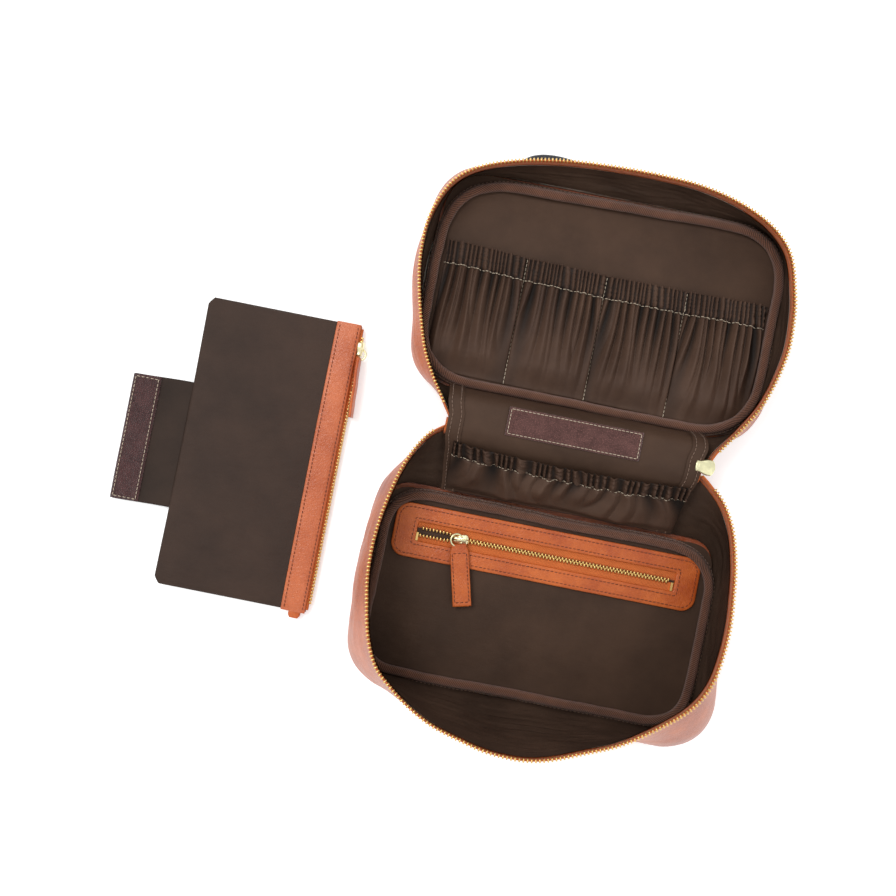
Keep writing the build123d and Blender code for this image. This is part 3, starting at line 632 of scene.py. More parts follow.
def wallRing(half, share, inset, rough=1.0):
    # One ring of a wall: share 0 at the floor and 1 at the foot of the zip tape
    ring = []
    hingeStart = bag["steps"] - bag["hingeSteps"]
    for i in range(bag["steps"]):
        low = half["floor"][i] - half["floorOut"][i] * (inset * mm)
        high = half["rim"][i] - half["rimOut"][i] * (inset * mm) - half["up"] * (bag["tapeHeight"] * mm)
        out = half["floorOut"][i].lerp(half["rimOut"][i], share).normalized()
        side = smooth(0, 26, min(i, hingeStart - 1 - i)) if i < hingeStart else 0.0
        swell = math.sin(math.pi * share ** 0.8) * half["bulge"] * side
        corner, extra, reach = half["slump"]        # where the soft wall sags out furthest
        swell += math.sin(math.pi * share ** 0.8) * extra * math.exp(-((half["rim"][i] - corner).length
                                                                       / reach) ** 2)
        swell += mix(0.4, 1.0, side) * rough * half["sag"] * math.sin(math.pi * share) * (
            wobble(low.x, low.y, share * 0.05, 34) + 0.5 * wobble(low.x, low.y, share * 0.16 + 3, 15))
        ring.append(low.lerp(high, share) + out * (swell * mm))
    return ring


shellLook = {"foot": ((0.5, 0.5), (0.8, 0.4), (0.965, 0.25), (0.988, 0.6)), "steps": 30,
             "edge": ((0.5, 0.45), (1.2, 0.3), (1.7, -0.6))}


def leatherShell(name, half, body, replaced):
    inset = bag["leather"]
    steps = shellLook["steps"]
    start = half["floor"]
    rows = []
    middle = sum(start, Vector()) / len(start)
    for draw, height in shellLook["foot"]:
        rows.append([middle + (p - middle) * draw + at(0, 0, height) for p in start])
    for k in range(steps + 1):
        share = 0.035 + 0.965 * k / steps
        rows.append(wallRing(half, share, 0.0))
    top = rows[-1]
    for inward, rise in shellLook["edge"]:
        rows.append([p - n * (inward * mm) + half["up"] * (rise * mm) for p, n in zip(top, half["rimOut"])])
    rows.append(wallRing(half, 0.93, inset + 0.2))
    return rowPiece(name, rows, wallLeather, body, replaced, "tan_leather", closeAcross=True, capStart=True)


leatherShell("baseLeather", halves["base"], "base", ["base_leather_shell"])
leatherShell("lidLeather", halves["lid"], "lid", ["lid_leather_shell"])
print("leather shells ready")


def wallLining(name, half, body, replaced, foot, waves):
    steps = 34
    rows = []
    for k in range(steps + 1):
        share = foot + (1.0 - foot) * k / steps
        ring = wallRing(half, share, mix(5.6, 2.4, share), rough=1.6)
        if waves:
            bend = []
            for i, p in enumerate(ring):
                front = smooth(-20, -55, p.y / mm)
                ripple = math.sin((p.z / mm + 5 * wobble(p.x, p.y, 0, 60)) * 0.95) * wobble(p.x, p.z, 2, 38)
                bend.append(p - half["rimOut"][i] * (1.5 * mm * ripple * mix(0.35, 1.0, front)
                                                     * math.sin(math.pi * share)))
            ring = bend
        rows.append(ring)
    return rowPiece(name, rows, wallCloth, body, replaced, "brown_lining", closeAcross=True)


def foamLayer(name, half, body, replaced):        # hidden between leather and lining
    rows = [wallRing(half, 0.04 + 0.92 * k / 12, mix(2.4, 1.8, k / 12)) for k in range(13)]
    rows += [wallRing(half, 0.96 - 0.92 * k / 12, mix(2.0, 4.0, k / 12)) for k in range(13)]
    rowPiece(name, rows, foamSheet, body, replaced, "foam", closeAcross=True, closeRows=True)


foamLayer("baseFoamLayer", halves["base"], "base", ["base_foam"])
foamLayer("lidFoamLayer", halves["lid"], "lid", ["lid_foam"])
baseLining = wallLining("baseWallLining", halves["base"], "base", ["base_lining"], 0.08, True)
lidLining = wallLining("lidWallLining", halves["lid"], "lid", ["lid_lining"], 0.14, False)


def floorSheet(name, loop, height, inset, body, replaced, finish, swell):
    middle = sum(loop, Vector()) / len(loop)
    rows = []
    for k in range(46):
        draw = 1.0 - k / 45 * 0.985
        row = []
        for p, n in zip(loop, outwards(loop)):
            q = middle + (p - n * (inset * mm) - middle) * draw
            rise = swell * (0.55 * wobble(q.x, q.y, 5, 55) + 0.3
                            * wobble(q.x, q.y, 9, 22)) * smooth(1.0, 0.9, draw)
            row.append(Vector((q.x, q.y, (height + rise) * mm)))
        rows.append(row)
    return rowPiece(name, rows, finish, body, replaced, "brown_lining", closeAcross=True, capEnd=True)


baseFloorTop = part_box("floor_lining")[1].z / mm
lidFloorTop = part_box("lid_panel_lining")[1].z / mm
floorCloth = floorSheet("floorCloth", baseFloor, baseFloorTop, 5.2, "base", ["floor_lining"], liningCloth,
                        0.9)
lidPanelCloth = floorSheet("lidPanelCloth", lidFloor, lidFloorTop, 5.2, "lid", ["lid_panel_lining"],
                           liningCloth, 1.4)

# Rolled bindings

bindingLook = {"width": 6.6, "height": 6.0, "flange": ((2.0, 0.0), (3.2, 1.2), (4.4, 2.2), (5.0, 3.2))}


def corneredLoop(corners, radii, height, count=420):        # a closed loop through four rounded corners
    dense = []
    for k in range(4):
        before, corner, after = (at(*corners[(k + j) % 4], height) for j in (-1, 0, 1))
        into = (corner - before).normalized()
        away = (after - corner).normalized()
        reach = radii[k] * mm
        for step in range(15):
            s = step / 14
            dense.append((corner - into * reach) * (1 - s) ** 2 + corner * (2 * s * (1 - s))
                         + (corner + away * reach) * s ** 2)
    dense.append(dense[0].copy())
    return evenSteps(dense, count, closed=True)


def bindingRoll(name, corners, radii, height, body, replaced):
    loop = corneredLoop(corners, radii, height)
    path = []
    for p, n in zip(loop, outwards(loop)):
        drift = 0.7 * wobble(p.x, p.y, 1, 34) + 0.35 * wobble(p.x, p.y, 5, 12)
        rise = bindingLook["height"] / 2 + 0.6 * wobble(p.x, p.y, 4, 26)
        path.append(p + at(0, 0, rise) + n * (drift * mm))
    rows = sweepRows(path, ellipse(bindingLook["width"], bindingLook["height"], 22, 2.1), skyward,
                     closed=True)
    turned = crossed(rows)
    roll = rowPiece(name, turned, bindingTwill, body, replaced, "brown_binding", closeAcross=True,
                    closeRows=True)
    flange = []
    for reach, drop in bindingLook["flange"]:
        flange.append([p + n * (reach * mm) - at(0, 0, drop) for p, n in zip(path, outwards(loop))])
    rowPiece(name + "Flange", flange, bindingTwill, body, slotName="brown_binding", closeAcross=True)
    lift = [p + at(0, 0, -0.6) + n * ((bindingLook["width"] / 2 + 0.9) * mm)
            for p, n in zip(path, outwards(loop))]
    merged(name + "Stitches", stitchParts(lift + lift[:1], skyward, slant=0, length=1.9), dullThread,
           body, slotName="brown_binding")
    return roll


bindingRoll("floorBinding", [(-120, -66), (121.5, -65), (121.5, 63), (-119, 64)], (30, 32, 34, 30),
            baseFloorTop, "base", ["floor_binding"])
bindingRoll("lidBinding", [(-120, 150), (126, 149.5), (127, 299), (-119.5, 293)], (44, 46, 46, 46),
            lidFloorTop, "lid", ["lid_binding"])
print("linings and bindings ready")

# Main zip: tape on the leather's edge, then the teeth

zipLook = {"pitch": 2.54, "inset": 0.9, "start": 13.0, "end": 6.0, "tooth": (1.15, 2.6, 2.4), "dip": -0.4,
           "tape": [(-0.45, -6.5), (-0.55, -3), (-0.45, 0.4), (0.0, 0.7), (0.45, 0.4), (0.55, -3),
                    (0.45, -6.5)]}


def zipSide(name, half, body, tapeNode, teethNode):
    side = half["rim"][:bag["steps"] - bag["hingeSteps"]]
    normals = half["rimOut"]
    path = [p - n * (zipLook["inset"] * mm) for p, n in zip(side, normals)]
    dense = evenSteps(path, 700)
    rows = sweepRows(dense, zipLook["tape"], half["up"])
    turned = crossed(rows)
    rowPiece(name + "Tape", turned, tapeWeave, body, [tapeNode], "orange_tape", closeRows=True)
    total = pathLength(dense) / mm
    count = int((total - zipLook["start"] - zipLook["end"]) / zipLook["pitch"])
    parts = []
    step = zipLook["pitch"] / 10
    fine = evenSteps(dense, int(total / step) + 1)
    for i in range(count):
        k = int((zipLook["start"] + i * zipLook["pitch"]) / step)
        along = fine[min(k + 1, len(fine) - 1)] - fine[max(k - 1, 0)]
        lean = dice.uniform(-0.05, 0.05)
        place = frameAt(fine[k], along, half["up"]) @ Matrix.Rotation(lean, 4, "Z")
        parts.append(roundedBar(place, *zipLook["tooth"], rise=zipLook["dip"]))
    merged(name + "Teeth", parts, brass, body, [teethNode], "brass")


zipSide("baseZip", halves["base"], "base", "base_zip_tape", "base_zip_teeth")
zipSide("lidZip", halves["lid"], "lid", "lid_zip_tape", "lid_zip_teeth")
print("main zip ready")

# Cloth over the hinge, with its side strips and hook strip

hingeSheet = {"profile": [(71, 10.5), (88, 20), (105, 32), (112, 36.6), (118, 38.6), (128, 38.6),
                          (136, 37.4), (141, 32), (144, 24), (146.5, 15.5)],
              "bendFrom": 111.0, "bendTo": 120.5,
              "halves": [(71, 84), (100, 86.5), (112, 88.5), (124, 88.5), (136, 91), (146.5, 92)]}
hingeBlend = ("base", "lid", (0, hingeSheet["bendFrom"] * mm, 0.0375),
              (0, hingeSheet["bendTo"] * mm, 0.0375))
hingeLine = resample([at(0, y, z) for y, z in hingeSheet["profile"]], 70)


def hingeHalf(y):        # half the width of the cloth at each height of its wall
    table = hingeSheet["halves"]
    for (y0, w0), (y1, w1) in zip(table, table[1:]):
        if y <= y1:
            return mix(w0, w1, smooth(y0, y1, y))
    return table[-1][1]


def hingeRows(low, high, lift, count, ripple=0.6, edge=0.0):
    # Strips across the hinge, from low to high as shares of half its width, moved by edge millimetres
    rows = []
    for k in range(count):
        row = []
        for j, p in enumerate(hingeLine):
            x = (mix(low, high, k / (count - 1)) * hingeHalf(p.y / mm) + edge) * mm
            before = hingeLine[max(j - 1, 0)]
            after = hingeLine[min(j + 1, len(hingeLine) - 1)]
            up = Vector((1, 0, 0)).cross((after - before)).normalized()
            rise = lift + ripple * wobble(x, p.y, 2, 30)
            row.append(Vector((x, p.y, p.z)) + up * (rise * mm))
        rows.append(row)
    return rows


rowPiece("hingeCloth", hingeRows(-1, 1, 0, 90), liningCloth, hingeBlend,
         ["hinge_panel_base", "hinge_panel_lid", "back_panel_base", "back_panel_lid"], "brown_lining")
for side, name in ((-1, "leftSideStrip"), (1, "rightSideStrip")):
    near, far = (hingeRows(side, side, 0.8, 2, 0.5, edge=-side * reach)[0] for reach in (-0.4, 10.5))
    edges = [[p.lerp(q, k / 8) + Vector((0, 0, 0.35 * mm * math.sin(math.pi * k / 8)))
              for p, q in zip(near, far)] for k in range(9)]
    rowPiece(name, edges if side < 0 else edges[::-1], liningCloth, hingeBlend,
             ["back_side_strips"] if side < 0 else [], "brown_lining")
    parts = []
    for reach in (2.2, 8.4):
        line = [p + at(0, 0, 0.75) for p in hingeRows(side, side, 0.8, 2, 0.5, edge=-side * reach)[0]]
        parts += stitchParts(line, skyward, slant=0, thread=0.45)
    merged(name + "Stitches", parts, dullThread, hingeBlend, slotName="brown_lining")
rimFold = {"reach": (84.5, 90.2), "dip": 0.6,
           "profile": [(110.5, 30.0), (111.8, 36.0), (115.5, 37.6), (118.5, 37.8), (121.5, 36.4),
                       (122.5, 30.5)],
           "blend": ("base", "lid", (0, 0.1115, 0.036), (0, 0.1205, 0.036))}
for side, name in ((-1, "leftRimFold"), (1, "rightRimFold")):
    # leather and tape turned in at each end of the hinge
    rows = []
    for k in range(9):
        x = side * mix(*rimFold["reach"], k / 8)
        rows.append(resample([at(x, y, z - rimFold["dip"] * k / 8) for y, z in rimFold["profile"]], 16))
    rowPiece(name, rows if side > 0 else rows[::-1], tapeWeave, rimFold["blend"], slotName="orange_tape")

hook = {"length": 94.0, "width": 20.0, "thick": 1.3, "middle": (-1.5, 127.5, 39.1), "seam": (45.5, 8.6)}


def stripGrid(length, width, thick, place, nx, ny, ripple=0.25):
    rows = []
    section = [(-0.5, -0.5), (-0.5, 0.3), (-0.47, 0.5)] + [(-0.47 + 0.94 * k / ny, 0.5)
                                                           for k in range(1, ny)]
    section += [(0.47, 0.5), (0.5, 0.3), (0.5, -0.5)]
    for i in range(nx + 1):
        x = length * (i / nx - 0.5)
        row = []
        for across, up in section:
            y = across * width
            lift = ripple * wobble(x * mm, y * mm, 1, 14) + up * thick
            row.append(place @ at(x, y, lift))
        rows.append(row)
    return rows


hookPlace = Matrix.Translation(at(*hook["middle"]))
rowPiece("hookStrip", stripGrid(hook["length"], hook["width"], hook["thick"], hookPlace, 60, 12), hookTape,
         "lid", ["hook_strip"], "hook_tape", **capped)
hookX, hookY = hook["seam"]
hookEdge = [hookPlace @ at(x * hookX, y * hookY, 0.75)
            for x, y in ((-1, -1), (1, -1), (1, 1), (-1, 1), (-1, -1))]
hookStitches = []
for a, b in zip(hookEdge, hookEdge[1:]):
    hookStitches += stitchParts([a, b], skyward, pitch=2.8, slant=0)
merged("hookStripStitches", hookStitches, greyThread, "lid", slotName="hook_tape")
outerLook = {"profile": [(111.5, 30.5), (113.6, 34.6), (116.2, 35.6), (118.8, 34.6), (120.4, 30.5)],
             "across": range(-90, 84, 3), "blend": ("base", "lid", (0, 0.1135, 0.035), (0, 0.1187, 0.035))}
outerHinge = resample([at(0, y, z) for y, z in outerLook["profile"]], 14)
rows = [[Vector((x * mm, p.y, p.z)) for p in outerHinge] for x in outerLook["across"]]
rowPiece("outerHingeLeather", rows, tanLeather, outerLook["blend"], slotName="tan_leather")
print("hinge ready")

# Gathered pockets


def gatheredRows(pocket, depth, place):
    # Rows of a cloth drawn in by an elastic at its mouth, with each point's share of light for its painted
    # shade, from 0 in the darkest hollows to 1 on the crests
    width, puff, panels, casing = (pocket[key] for key in ("width", "puff", "panels", "casing"))
    foldCount, seed, nx, nt = (pocket[key] for key in ("folds", "seed", "across", "steps"))
    chance = random.Random(seed)
    folds = []
    for panel in range(panels):
        for k in range(foldCount):
            top = (k + chance.uniform(0.25, 0.75)) / foldCount
            spread = (top - 0.5) * chance.uniform(0.05, 0.5)
            folds.append((panel, top, top + spread, chance.uniform(0.45, 1.0), chance.uniform(0.8, 1.35),
                          chance.uniform(-0.1, 0.45)))
    rows = []
    litShares = []
    for k in range(nt + 1):
        t = k / nt
        fade = mix(0.45, 1.0, smooth(0.0, 0.5, t))
        inCasing = smooth(1 - casing - 0.02, 1 - casing + 0.02, t)
        row = []
        for i in range(nx + 1):
            s = i / nx
            panel = min(int(s * panels), panels - 1)
            local = s * panels - panel
            hold = math.sin(math.pi * local) ** 0.4 if 0 < local < 1 else 0.0
            ridge = 0.0
            for home, top, foot, strength, wide, start in folds:
                if home != panel:
                    continue
                middle = mix(foot, top, t ** 1.4) + 0.02 * math.sin(5 * t + 9 * top + seed)
                size = mix(0.95, 0.3, t ** 0.8) * wide / foldCount
                reach = strength * smooth(start - 0.25, start + 0.25, t)
                ridge = max(ridge, reach * math.exp(-abs((local - middle) / size) ** 1.7))
            lean = (t - 1) / casing * (0.5 + 0.9 * wobble(s * width * mm, 3.0, seed, 26))
            phase = (s * width / pocket["tuckPitch"] + 1.3 * wobble(s * width * mm, 0.0, seed, 13)
                     + 0.55 * lean)
            tuck = 0.5 + 0.5 * math.sin(2 * math.pi * phase)
            tuck = tuck ** mix(0.7, 1.7, 0.5 + 0.5 * wobble(s * width * mm, 7, seed, 9))
            tuck *= mix(0.35, 1.0, smooth(-0.5, 0.4, wobble(s * width * mm, 1 + 3 * t, seed, 8)))
            pinch = math.exp(-((t - (1 - casing)) / 0.016) ** 2)
            body = puff * smooth(0.0, 0.2, t) * mix(1.0, 0.55, smooth(0.4, 0.95, t)) * hold
            height = 0.8 + body * mix(0.7, 1.0,
                                      ridge) + 6.2 * (ridge - 0.35) * fade * hold ** 0.5 * (1 - inCasing)
            height += inCasing * pocket["tuckRise"] * tuck - pinch * 1.2
            height += 0.5 * wobble(s * width * mm, t * depth * mm, seed, 15) * hold * smooth(0, 0.2, t)
            # the foot of each compartment is nearly flat, so it takes less painted shade
            open_ = mix(0.45, 0.0, smooth(0.15, 0.75, t))
            # painted shade: darker in the hollows between folds and between tucks, darker still near each
            # compartment's stitched sides and along the casing seam
            crest = mix(open_ + (1 - open_) * ridge, 0.12 + 0.88 * tuck, inCasing) * mix(0.5, 1.0, hold)
            crest = crest * (1 - 0.35 * pinch)
            dip = 2.5 * math.sin(math.pi * s) * t
            rise = 0.9 * inCasing * (tuck - 0.5) * smooth(1 - casing * 0.4, 1.0, t)
            row.append(place(s * width - width / 2, t * depth - dip + rise, max(height, 0.3)))
            litShares.append(min(max(crest, 0.0), 1.0))
        rows.append(row)
    return rows, litShares


lidPocket = {"width": 236.0, "x": 4.0, "low": 153.5, "depth": 94.0, "puff": 9.0, "casing": 0.175,
             "panels": 4, "folds": 12, "seed": 3, "across": 640, "steps": 90,
             "tuckPitch": 3.4, "tuckRise": 2.4}


def onLidPanel(x, d, h):
    return at(lidPocket["x"] + x, lidPocket["low"] + d - 0.012 * x, lidFloorTop + h)


pocketRows, pocketLitShares = gatheredRows(lidPocket, lidPocket["depth"], onLidPanel)
lidPocketCloth = rowPiece("lidPocketCloth", pocketRows, gatheredCloth, "lid",
                          ["lid_pocket", "lid_pocket_elastic"], "gathered_cloth", litShares=pocketLitShares)
thicken(lidPocketCloth, 0.7)
seamRow = pocketRows[int(lidPocket["steps"] * (1 - lidPocket["casing"]))]
parts = stitchParts([p + at(0, 0, 0.5) for p in seamRow], skyward, pitch=3.2, slant=0)
for k in (1, 2, 3):
    column = [row[lidPocket["across"] * k // 4] + at(0, 0, 0.4) for row in pocketRows]
    parts += stitchParts(column, skyward, slant=0)
merged("lidPocketStitches", parts, greyThread, "lid", slotName="gathered_cloth")

backPocket = {"width": 168.0, "puff": 7.0, "low": (71.0, 11.0), "high": (107.5, 34.5), "casing": 0.26,
              "panels": 1, "folds": 17, "seed": 11, "across": 460, "steps": 50,
              "tuckPitch": 5.4, "tuckRise": 4.2}
wallRun = at(0, *backPocket["high"]) - at(0, *backPocket["low"])
wallUp = Vector((1, 0, 0)).cross(wallRun).normalized()


def onBackWall(x, d, h):
    start = at(x + 2, *backPocket["low"])
    return start + wallRun.normalized() * (d * mm) + wallUp * (h * mm)


backRows, backLitShares = gatheredRows(backPocket, wallRun.length / mm, onBackWall)
backPocketCloth = rowPiece("backPocketCloth", backRows, gatheredCloth, "base",
                           ["back_pocket", "back_pocket_elastic"], "gathered_cloth", litShares=backLitShares)
thicken(backPocketCloth, 0.7)
seamRow = backRows[int(backPocket["steps"] * (1 - backPocket["casing"]))]
merged("backPocketStitches", stitchParts([p + wallUp * (0.5 * mm) for p in seamRow], wallUp, slant=0),
       greyThread, "base", slotName="gathered_cloth")
print("gathered pockets ready")

# Zipped pocket in the floor

floorZip = {"width": 226.0, "depth": 39.5, "corner": 10.0, "window": (192.0, 14.3), "x": 0.5, "y": 37.2,
            "thick": 1.7, "tooth": (1.15, 2.9, 1.5), "slider": -65.0,
            "edge": [(0.0, 0.0), (0.0, 0.55), (0.015, 0.9), (0.05, 1.0), (0.2, 1.0), (0.4, 1.03),
                     (0.6, 1.03),
                     (0.8, 1.0), (0.95, 1.0), (0.985, 0.9), (1.0, 0.55), (1.0, 0.0)]}
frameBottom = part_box("pocket_frame")[0].z / mm
zipMiddle = at(floorZip["x"], floorZip["y"], frameBottom)


def leatherFrame():
    outer = roundedRectangle(floorZip["width"], floorZip["depth"], floorZip["corner"], 400)
    window = roundedRectangle(*floorZip["window"], 1.2, 4000)
    inner = [min(window, key=lambda w: (w - Vector((p.x * 0.86, p.y * 0.4, 0))).length_squared)
             for p in outer]
    rows = []
    thick = floorZip["thick"]
    for share, height in floorZip["edge"]:
        row = []
        for a, b in zip(outer, inner):
            p = a.lerp(b, share)
            rise = 0.35 * wobble(p.x, p.y, 3, 26) * (1 if height > 0.2 else 0)
            row.append(zipMiddle + Vector((p.x, p.y, (thick * height + rise) * mm)))
        rows.append(row)
    rowPiece("pocketLeatherFrame", rows, tanLeather, "base", ["pocket_frame"], "tan_leather",
             closeAcross=True)
    top = at(0, 0, thick + 0.15)
    outerSeam = roundedRectangle(floorZip["width"] - 5.5, floorZip["depth"] - 5.5, floorZip["corner"] - 2.5,
                                 300)
    innerSeam = roundedRectangle(floorZip["window"][0] + 5, floorZip["window"][1] + 5, 1.0, 300)
    parts = []
    for loop in (outerSeam, innerSeam):
        parts += stitchParts([p + zipMiddle + top for p in loop + loop[:1]], skyward)
    merged("pocketFrameStitches", parts, tanThread, "base", slotName="tan_leather")


leatherFrame()


def pocketSpread(x):
    return smooth(floorZip["slider"] + 2, floorZip["slider"] - 10, x) * 2.0


def pocketZip():
    for side in (-1, 1):
        rows = []
        for i in range(200):
            x = floorZip["window"][0] * (i / 199 - 0.5) * 1.03
            gap = 0.9 + pocketSpread(x) * 0.9
            row = []
            for across, up in ((gap, 0.05), (gap, 0.55), (gap + 2.2, 0.6), (gap + 5, 0.65),
                               (gap + 9, 0.65)):
                row.append(at(floorZip["x"] + x, floorZip["y"] + side * across, frameBottom - 0.7 + up))
            rows.append(row)
        name = "pocketTapeNear" if side < 0 else "pocketTapeFar"
        rowPiece(name, rows, tapeWeave, "base", ["pocket_zip_tapes"] if side < 0 else [], "orange_tape")
    parts = []
    count = int((floorZip["window"][0] - 6) / zipLook["pitch"])
    for i in range(count):
        for side in (-1, 1):
            x = -floorZip["window"][0] / 2 + 3 + (i + (side + 1) / 4) * zipLook["pitch"]
            y = side * (0.75 + pocketSpread(x))
            place = Matrix.Translation(at(floorZip["x"] + x, floorZip["y"] + y, frameBottom - 0.1))
            parts.append(roundedBar(place @ Matrix.Rotation(dice.uniform(-0.06, 0.06), 4, "Z"),
                                    *floorZip["tooth"]))
    merged("pocketTeeth", parts, brass, "base", ["pocket_zip_teeth"], "brass")


pocketZip()
# painted shade: a dark sheet stands in for the shade inside the pocket, seen through the open zip, in place
# of the pocket bag
gapRows = [[at(floorZip["x"] + x, floorZip["y"] + y, frameBottom - 0.85) for y in (-5, 0, 5)]
           for x in range(-95, 96, 10)]
rowPiece("pocketShadow", gapRows, darkLeatherAndShade, "base", ["pocket_bag"], "brown_lining")
nodes["pocket_zip_stops"].data.materials[0] = brass

# Leather pulls, rings and sliders


strapLook = {"width": 13.5, "thick": 2.3}


def pullStrap(name, node, place, body, length):
    width, thick = strapLook["width"], strapLook["thick"]
    rows = []
    steps = 40
    for i in range(steps + 1):
        t = i / steps
        half = width / 2 * mix(0.76, 1.0, smooth(0.0, 0.16, t)) * (1 + 0.03 * wobble(t * 0.05, 0, 1, 9))
        y = 1.0 - t * (length + 1.0)
        lift = 0.5 * wobble(t * 0.06, 1, 2, 20)
        fat = thick * mix(1.25, 1.0, smooth(0, 0.12, t))
        ring = []
        for across, up in ellipse(2 * half, fat, 24, 5.0):
            ring.append(place @ at(across, y, up + lift))
        rows.append(ring)
    strap = rowPiece(name, rows, tanLeather, body, [node], "tan_leather", **capped)
    parts = []
    top = thick / 2 + 0.12
    corners = [(-width / 2 + 1.6, -6), (-width / 2 + 1.6, -length + 3), (width / 2 - 1.6, -length + 3),
               (width / 2 - 1.6, -6), (-width / 2 + 1.6, -6)]
    for a, b in zip(corners, corners[1:]):
        line = []
        for k in range(9):
            x, y = mix(a[0], b[0], k / 8), mix(a[1], b[1], k / 8)
            t = (1.0 - y) / (length + 1.0)
            line.append(place @ at(x, y, top + 0.5 * wobble(t * 0.06, 1, 2, 20)))
        parts += stitchParts(line, place.to_3x3() @ skyward, pitch=2.9)
    merged(name + "Stitches", parts, tanThread, body, slotName="tan_leather")
    return strap


pocketRingMiddle = middleOf("pocket_pull_ring")
pullTop = pocketRingMiddle + at(3.0, 0.2, 0)
pullStrap("pocketPull", "pocket_pull_tab", Matrix.Translation(pullTop) @ spun(14, "Z"), "pocket_pull", 44.5)
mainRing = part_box("main_pull_ring")
mainTop = Vector(((mainRing[0].x + mainRing[1].x) / 2, (mainRing[0].y + mainRing[1].y) / 2,
                  mainRing[0].z + 0.8 * mm))
mainPlace = Matrix.Translation(mainTop) @ spun(-31, "Y") @ spun(-90, "Z")
pullStrap("mainPull", "main_pull_tab", mainPlace, "main_pull", 42.5)
sliderLook = {"main": (13.5, 11.0, 4.6), "pocket": (11.0, 7.6, 4.2), "pouch": (10.5, 7.8, 5.0)}
ringLook = {"wire": 0.75, "main": 4.0, "pocket": 4.4, "pouch": 4.0}


def sliderBody(name, body, place, length, width, thick):
    # A cast slider: a narrow tail, a swollen nose and a raised bridge along the middle with a groove either
    # side
    rows = []
    for k in range(33):
        s = k / 32
        swell = smooth(0.18, 0.62, s)
        round_ = math.sqrt(max(1 - (max(s - 0.8, 0) / 0.2) ** 2,
                               0.02)) * math.sqrt(max(1 - (max(0.06 - s, 0) / 0.06) ** 2, 0.1))
        wide = width * mix(0.68, 1.0, swell) * round_
        high = thick * mix(0.8, 1.0, swell) * mix(0.7, 1.0, round_)
        bridge = 0.5 * smooth(0.1, 0.2, s) * smooth(0.9, 0.8, s)
        ring = []
        for across, up in ellipse(wide, high, 28, 3.2):
            raised = bridge * math.exp(-(across / (0.16 * width)) ** 2) if up > 0 else 0.0
            groove = -0.35 * math.exp(-((abs(across) - 0.27 * width) / 0.5) ** 2) * (1 if up > 0 else 0)
            ring.append(place @ at((s - 0.5) * length, across, up + (raised + groove) * high / thick))
        rows.append(ring)
    rowPiece(name, rows, paleGold, body, [body], "brass", **capped)


def wireRing(name, node, body, middle, radius, turn):        # a round ring of wire
    wire = ringLook["wire"]
    rows = []
    for k in range(49):
        angle = 2 * math.pi * k / 48
        out = Vector((math.cos(angle), math.sin(angle), 0))
        rows.append([middle + turn @ (out * ((radius + wire * math.cos(b)) * mm)
                                      + Vector((0, 0, wire * math.sin(b) * mm)))
                     for b in (2 * math.pi * j / 12 for j in range(12))])
    rowPiece(name, rows, paleGold, body, [node], "brass", closeAcross=True)


flat = Matrix.Identity(3)
sliderBody("mainSliderCast", "main_slider", Matrix.Translation(at(91.0, 122.6, 39.4)), *sliderLook["main"])
wireRing("mainPullRing", "main_pull_ring", "main_pull", middleOf("main_pull_ring"), ringLook["main"],
         Matrix.Rotation(math.pi / 2, 3, "X"))
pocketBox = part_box("pocket_slider")
sliderTurn = Matrix.Translation(at(-62.5, floorZip["y"] + 0.4, pocketBox[0].z / mm + 2.4)) @ spun(8, "Z")
sliderBody("pocketSliderCast", "pocket_slider", sliderTurn, *sliderLook["pocket"])
hoop = []
for k in range(21):        # the slider's bridge, which the ring hangs from
    angle = math.pi * k / 20
    hoop.append(sliderTurn @ at(4.4 * math.cos(angle), 0, 1.6 + 2.6 * math.sin(angle)))
rowPiece("pocketSliderBridge", sweepRows(hoop, ellipse(2.6, 1.1, 12, 3.0), Vector((0, 1, 0))), paleGold,
         "pocket_slider", slotName="brass", **capped)
wireRing("pocketPullRing", "pocket_pull_ring", "pocket_pull", pocketRingMiddle + at(0.6, 3.4, 0.4),
         ringLook["pocket"], Matrix.Rotation(math.radians(16), 3, "Y"))
pouchTurn = Matrix.Translation(middleOf("pouch_slider")) @ spun(90, "Z") @ spun(-90, "X")
sliderBody("pouchSliderCast", "pouch_slider", pouchTurn, *sliderLook["pouch"])
wireRing("pouchPullRing", "pouch_pull_ring", "pouch_pull", middleOf("pouch_pull_ring"), ringLook["pouch"],
         flat)
print("pulls ready")

# Pouch

pouch = {"x": -222.0, "y": 69.0, "width": 111.0, "length": 215.0, "crown": 4.4, "edge": 1.6, "middleZ": 4.5,
         "band": 18.0, "corner": 5.0, "tooth": (1.15, 1.5, 2.2)}
pouchRight = pouch["x"] + 57 - 0.6
pouchLeft = pouch["x"] - 57


def pouchTop(x, y, side):        # height of a face of the pouch above its middle
    u = (x - pouchLeft) / (pouchRight - pouchLeft)
    v = (y - pouch["y"]) / pouch["length"] + 0.5
    rise = (max(math.sin(math.pi * min(max(u, 0), 1)),
                0) ** 0.45) * (max(math.sin(math.pi * min(max(v, 0), 1)), 0) ** 0.35)
    rough = 0.5 * wobble(x * mm, y * mm, 6 * side, 42) + 0.3 * wobble(x * mm, y * mm, 3 * side, 16)
    edge = mix(0.55, pouch["edge"], smooth(0.8, 1.0, u))
    height = edge + (pouch["crown"] - edge) * rise * mix(1.0, 0.75, smooth(0.75, 1, u)) + rough * rise * 0.8
    if side < 0:
        height = min(height, pouch["middleZ"] - 0.15)
    return pouch["middleZ"] + side * height


def pouchOutline(v):        # the side edges bow in a little, and the left corners are turned
    y = pouch["y"] + (v - 0.5) * pouch["length"]
    corner = pouch["corner"]
    fromEnd = min(v, 1 - v) * pouch["length"]
    turn = corner - fromEnd if fromEnd < corner else 0.0
    left = pouchLeft + turn * 0.8 + 1.2 * math.sin(math.pi * v)
    return left, pouchRight, y


